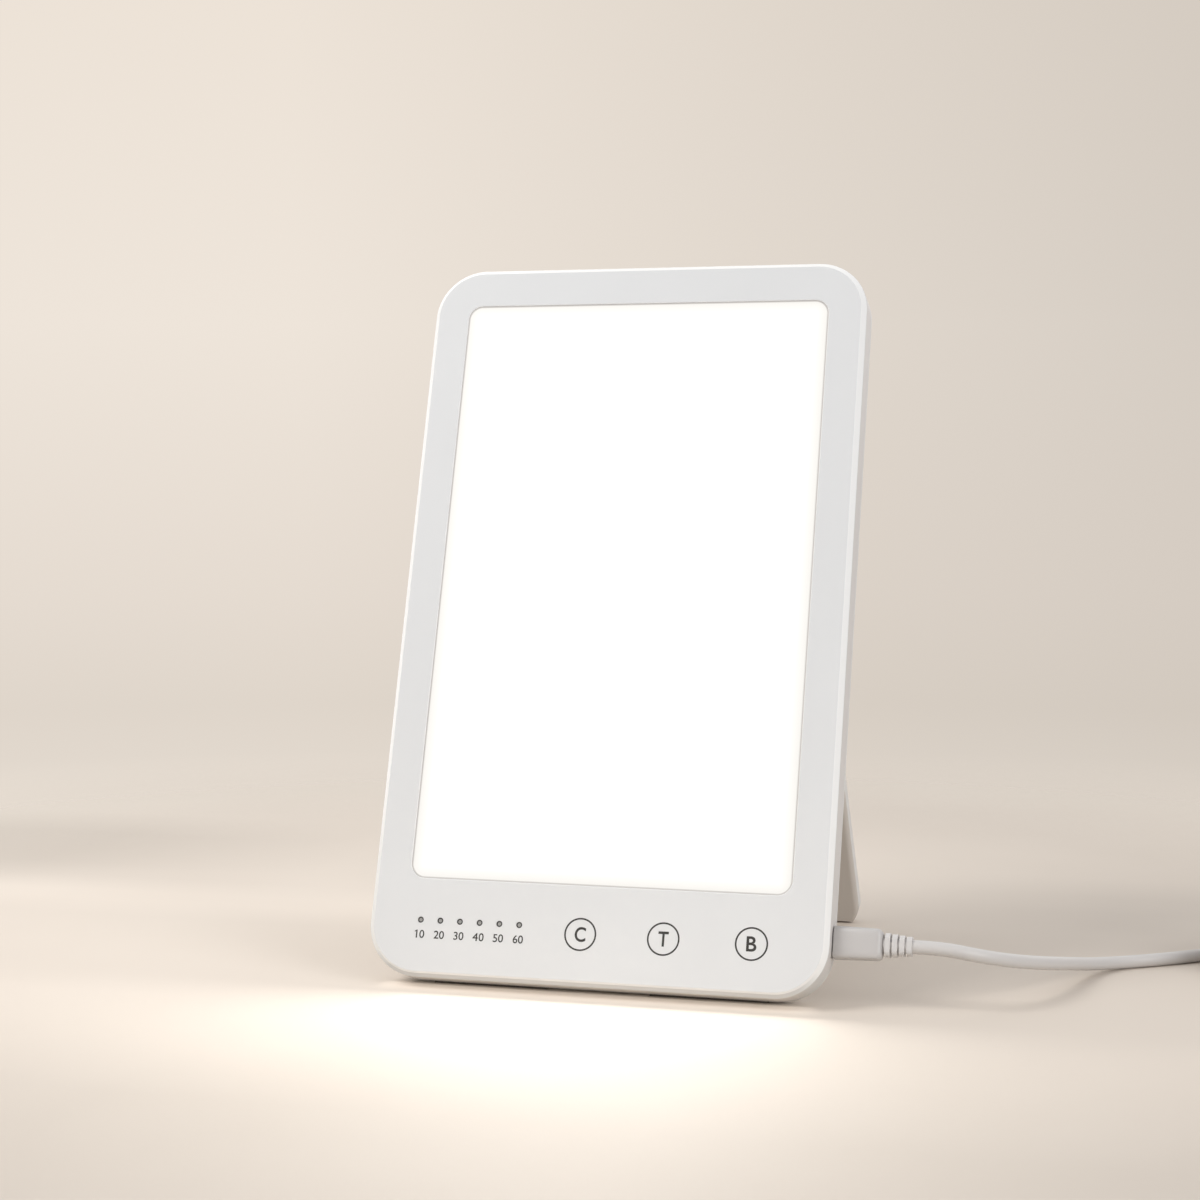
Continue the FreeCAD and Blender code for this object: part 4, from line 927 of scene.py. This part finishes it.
# %% Painted light and shade on the table's tone, by place in metres
PAINTED_LIGHT_SPOT = Vector((-0.18, 0.0, 0.0))
from_spot = add_measure(table_finish, "DISTANCE", table_place, PAINTED_LIGHT_SPOT)
painted_light_shares = [
    # painted light: the slow fade away from the brightest spot
    table_range(from_spot, 0.1, 0.4, 1.0, 0.8),
    # painted shade at the front, darkest where it is far from the pool's middle at x = 0.05
    table_range(table_y, -0.20, -0.10, table_range(away_from(table_x, 0.05), 0.0, 0.14, 0.95, 0.83), 1.0),
    # painted shade: a darker band far out on the left, behind the lamp
    table_range(away_from(table_y, 0.14), 0.035, 0.09, table_range(table_x, -0.28, -0.16, 0.86, 1.0), 1.0),
    # painted light: a paler streak on the left, nearer to the lamp
    table_range(away_from(table_y, 0.045), 0.008, 0.035, table_range(table_x, -0.07, 0.0, 1.055, 1.0), 1.0),
    # painted shadow: a darker band on the right, behind the lead
    table_range(away_from(table_y, 0.12), 0.015, 0.055, table_range(table_x, 0.07, 0.14, 1.0, 0.92), 1.0),
]
tone_with_painted_light = table_tone
for share in painted_light_shares:
    shaded = add_node(table_finish, "ShaderNodeVectorMath", {0: tone_with_painted_light, "Scale": share}, "SCALE")
    tone_with_painted_light = shaded.outputs["Vector"]
print("shares of the table's tone:", len(painted_light_shares))

# %% The colour that the table throws back
BOUNCE_BROWN = (0.62, 0.55, 0.47)
table_bounce = add_node(table_finish, "ShaderNodeMix", {
    "Factor": seen_directly(table_finish), "A": (*BOUNCE_BROWN, 1), "B": tone_with_painted_light}, data_type="RGBA")
feed(table_finish, table_shader.inputs["Base Color"], table_bounce.outputs["Result"])
add_bump(table_finish, table_shader, add_noise(table_finish, table_place, 900.0), 0.05 * MM, 0.15)
table_shader.inputs["Specular IOR Level"].default_value = 0.25

# %% Fade of the table top
FADE_START = 0.24
FADE_END = 0.55
fade = add_node(table_finish, "ShaderNodeMapRange", {
    "Value": add_measure(table_finish, "DISTANCE", table_place, (0, 0, 0)),
    "From Min": FADE_START, "From Max": FADE_END})
fade.interpolation_type = "SMOOTHSTEP"
see_through = add_node(table_finish, "ShaderNodeBsdfTransparent", {})
table_mix = add_node(table_finish, "ShaderNodeMixShader", {
    "Fac": fade.outputs["Result"], 1: table_shader.outputs["BSDF"], 2: see_through.outputs["BSDF"]})
feed(table_finish, table_finish.node_tree.nodes["Material Output"].inputs["Surface"],
     table_mix.outputs["Shader"])
wear(table_top, table_finish)
print("the table fades from", FADE_START, "to", FADE_END, "m")

# %% [markdown]
# ## Backdrop and light
#
# The backdrop is the world itself. Rays that come from the camera, or that a shiny piece reflects, see a warm
# beige wall that gets darker to one side, and less so low down. All other rays see a plain soft white, which is
# the fill light. Light Path tells them apart here too. Turning a direction into a colour takes its height, so a
# colour ramp over the direction's z does the wall.

# %% World
world = bpy.data.worlds.new("studio")
world.use_nodes = True
scene.world = world
world.node_tree.nodes.clear()
fill_light = add_node(world, "ShaderNodeBackground", {"Color": (0.98, 0.985, 1.0, 1), "Strength": 0.5})
direction = add_node(world, "ShaderNodeTexCoord", {}).outputs["Generated"]
height = add_node(world, "ShaderNodeSeparateXYZ", {"Vector": direction}).outputs["Z"]

# %% Wall colours
WALL_LOW, WALL_HIGH = -0.26, 0.20
DARK_SIDE = (0.964, 0.266, 0)
wall_stops = [
    (0.00, (0.74, 0.67, 0.60)),
    (0.20, (0.74, 0.67, 0.59)),
    (0.255, (0.82, 0.744, 0.66)),
    (0.30, (0.755, 0.685, 0.61)),
    (0.345, (0.74, 0.67, 0.595)),
    (0.45, (0.785, 0.71, 0.635)),
    (0.70, (0.855, 0.78, 0.70)),
    (1.00, (0.845, 0.765, 0.68)),
]
wall_colour = add_ramp(world, add_range(world, height, WALL_LOW, WALL_HIGH), wall_stops)
darkest = add_range(world, height, -0.12, 0.07, 0.885, 0.785)
sideways = add_measure(world, "DOT_PRODUCT", direction, DARK_SIDE)
wall = add_node(world, "ShaderNodeBackground", {
    "Color": wall_colour, "Strength": add_range(world, sideways, -0.13, 0.25, 1.0, darkest)})

# %% Who sees the wall
world_mix = add_node(world, "ShaderNodeMixShader", {
    "Fac": seen_directly(world), 1: fill_light.outputs["Background"], 2: wall.outputs["Background"]})
add_node(world, "ShaderNodeOutputWorld", {"Surface": world_mix.outputs["Shader"]})
print("nodes in the world:", len(world.node_tree.nodes))

# %% [markdown]
# Four soft area lamps light the room. The large one, high on the left and in front, is the room's window: it
# brightens the left and upper edges of the panel and lays a soft shadow to the right. A weaker one on the
# right lifts the right chamfer and the side wall. One behind the lamp opens the shadows on the table and shows
# the back, and a small one washes the table on the left. An area lamp's size sets how soft its shadow is.

# %% Studio lamps
WARM_WHITE = (1.0, 0.985, 0.96)
lamp_aim = (0, 0, 0.1)


def studio_lamp(name, place, aim, size, power, colour, height=None):
    """An area lamp that shines at its aim: a disk, or a rectangle if a height is stated."""
    lamp_data = bpy.data.lights.new(name, "AREA")
    lamp_data.shape = "RECTANGLE" if height else "DISK"
    lamp_data.size = size
    if height:
        lamp_data.size_y = height
    lamp_data.energy = power
    lamp_data.color = colour
    lamp = bpy.data.objects.new(name, lamp_data)
    lamp.location = place
    lamp.rotation_euler = (Vector(aim) - Vector(place)).to_track_quat("-Z", "Y").to_euler()
    lamp.visible_camera = False
    scene.collection.objects.link(lamp)
    return lamp


studio_lamp("room_window", (-1.33, -1.05, 1.8), lamp_aim, size=1.25, power=24.3, colour=WARM_WHITE)
studio_lamp("side_panel", (1.28, -0.80, 0.63), lamp_aim, size=0.9, power=8.4, colour=(1.0, 1.0, 1.0))
studio_lamp("table_wash", (-0.17, 0.06, 0.3), (-0.13, -0.02, 0.0), size=0.2, power=0.075,
            colour=(1.0, 0.98, 0.94))
studio_lamp("rear_panel", (0.1, 1.3, 0.95), lamp_aim, size=1.8, power=4.5, colour=WARM_WHITE)
print("lamps:", [lamp.name for lamp in bpy.data.lights])

# %% [markdown]
# The lit window also throws a pool of light on the table before it. The opal sheet's own glow is kept low
# enough to show its shape, so a few small lamps, which the camera can't see, do this work: one in front of the
# window makes the pool, one at the foot of the face brings it up to the panel, and one under the bottom wall,
# which hangs over the table in front of the feet, keeps the gap there from going black.

# %% Pool of light
GLOW_WHITE = (1.0, 0.99, 0.96)
GLOW_GAP = 1.6


def glow_lamp(name, u, v, size, height, power):
    """A rectangle of light just in front of the panel's face, which shines straight out of it."""
    return studio_lamp(name, on_panel(u, v, GLOW_GAP), on_panel(u, v, 100), size, power, GLOW_WHITE, height)


glow_lamp("window_pool", -11, 94, size=0.085, height=0.124, power=0.232)
glow_lamp("foot_glow", 6, 11, size=0.128, height=0.018, power=0.027)
studio_lamp("edge_glow", on_panel(0, -0.2, -4.8), on_panel(0, -100, -4.8), size=0.134, power=0.0014,
            colour=(1.0, 0.98, 0.95), height=0.0096)
print("lamps with the glow:", len(bpy.data.lights))

# %% [markdown]
# A narrow strip of light beside the panel, along the upper four fifths of its height, draws the thin bright
# line down its left edge. It shines square at the left wall, so next to nothing of it reaches the face.

# %% Strip of light on the left edge
STRIP_MIDDLE = 134
left_strip = studio_lamp("left_strip", on_panel(-100, STRIP_MIDDLE, -3), on_panel(-71, STRIP_MIDDLE, -3),
                         size=0.012, power=0.008, colour=WARM_WHITE, height=0.18)
strip_axes = Matrix((OUT_OF_FACE, UP_PANEL, Vector((-1, 0, 0)))).transposed()
left_strip.rotation_euler = strip_axes.to_euler()
print("strip beside the left edge:", left_strip.data.size_y, "m long")

# %% [markdown]
# Blender can bend bright colours the way film does. The Standard view leaves them as they are written.

# %% View settings
scene.view_settings.view_transform = "Standard"
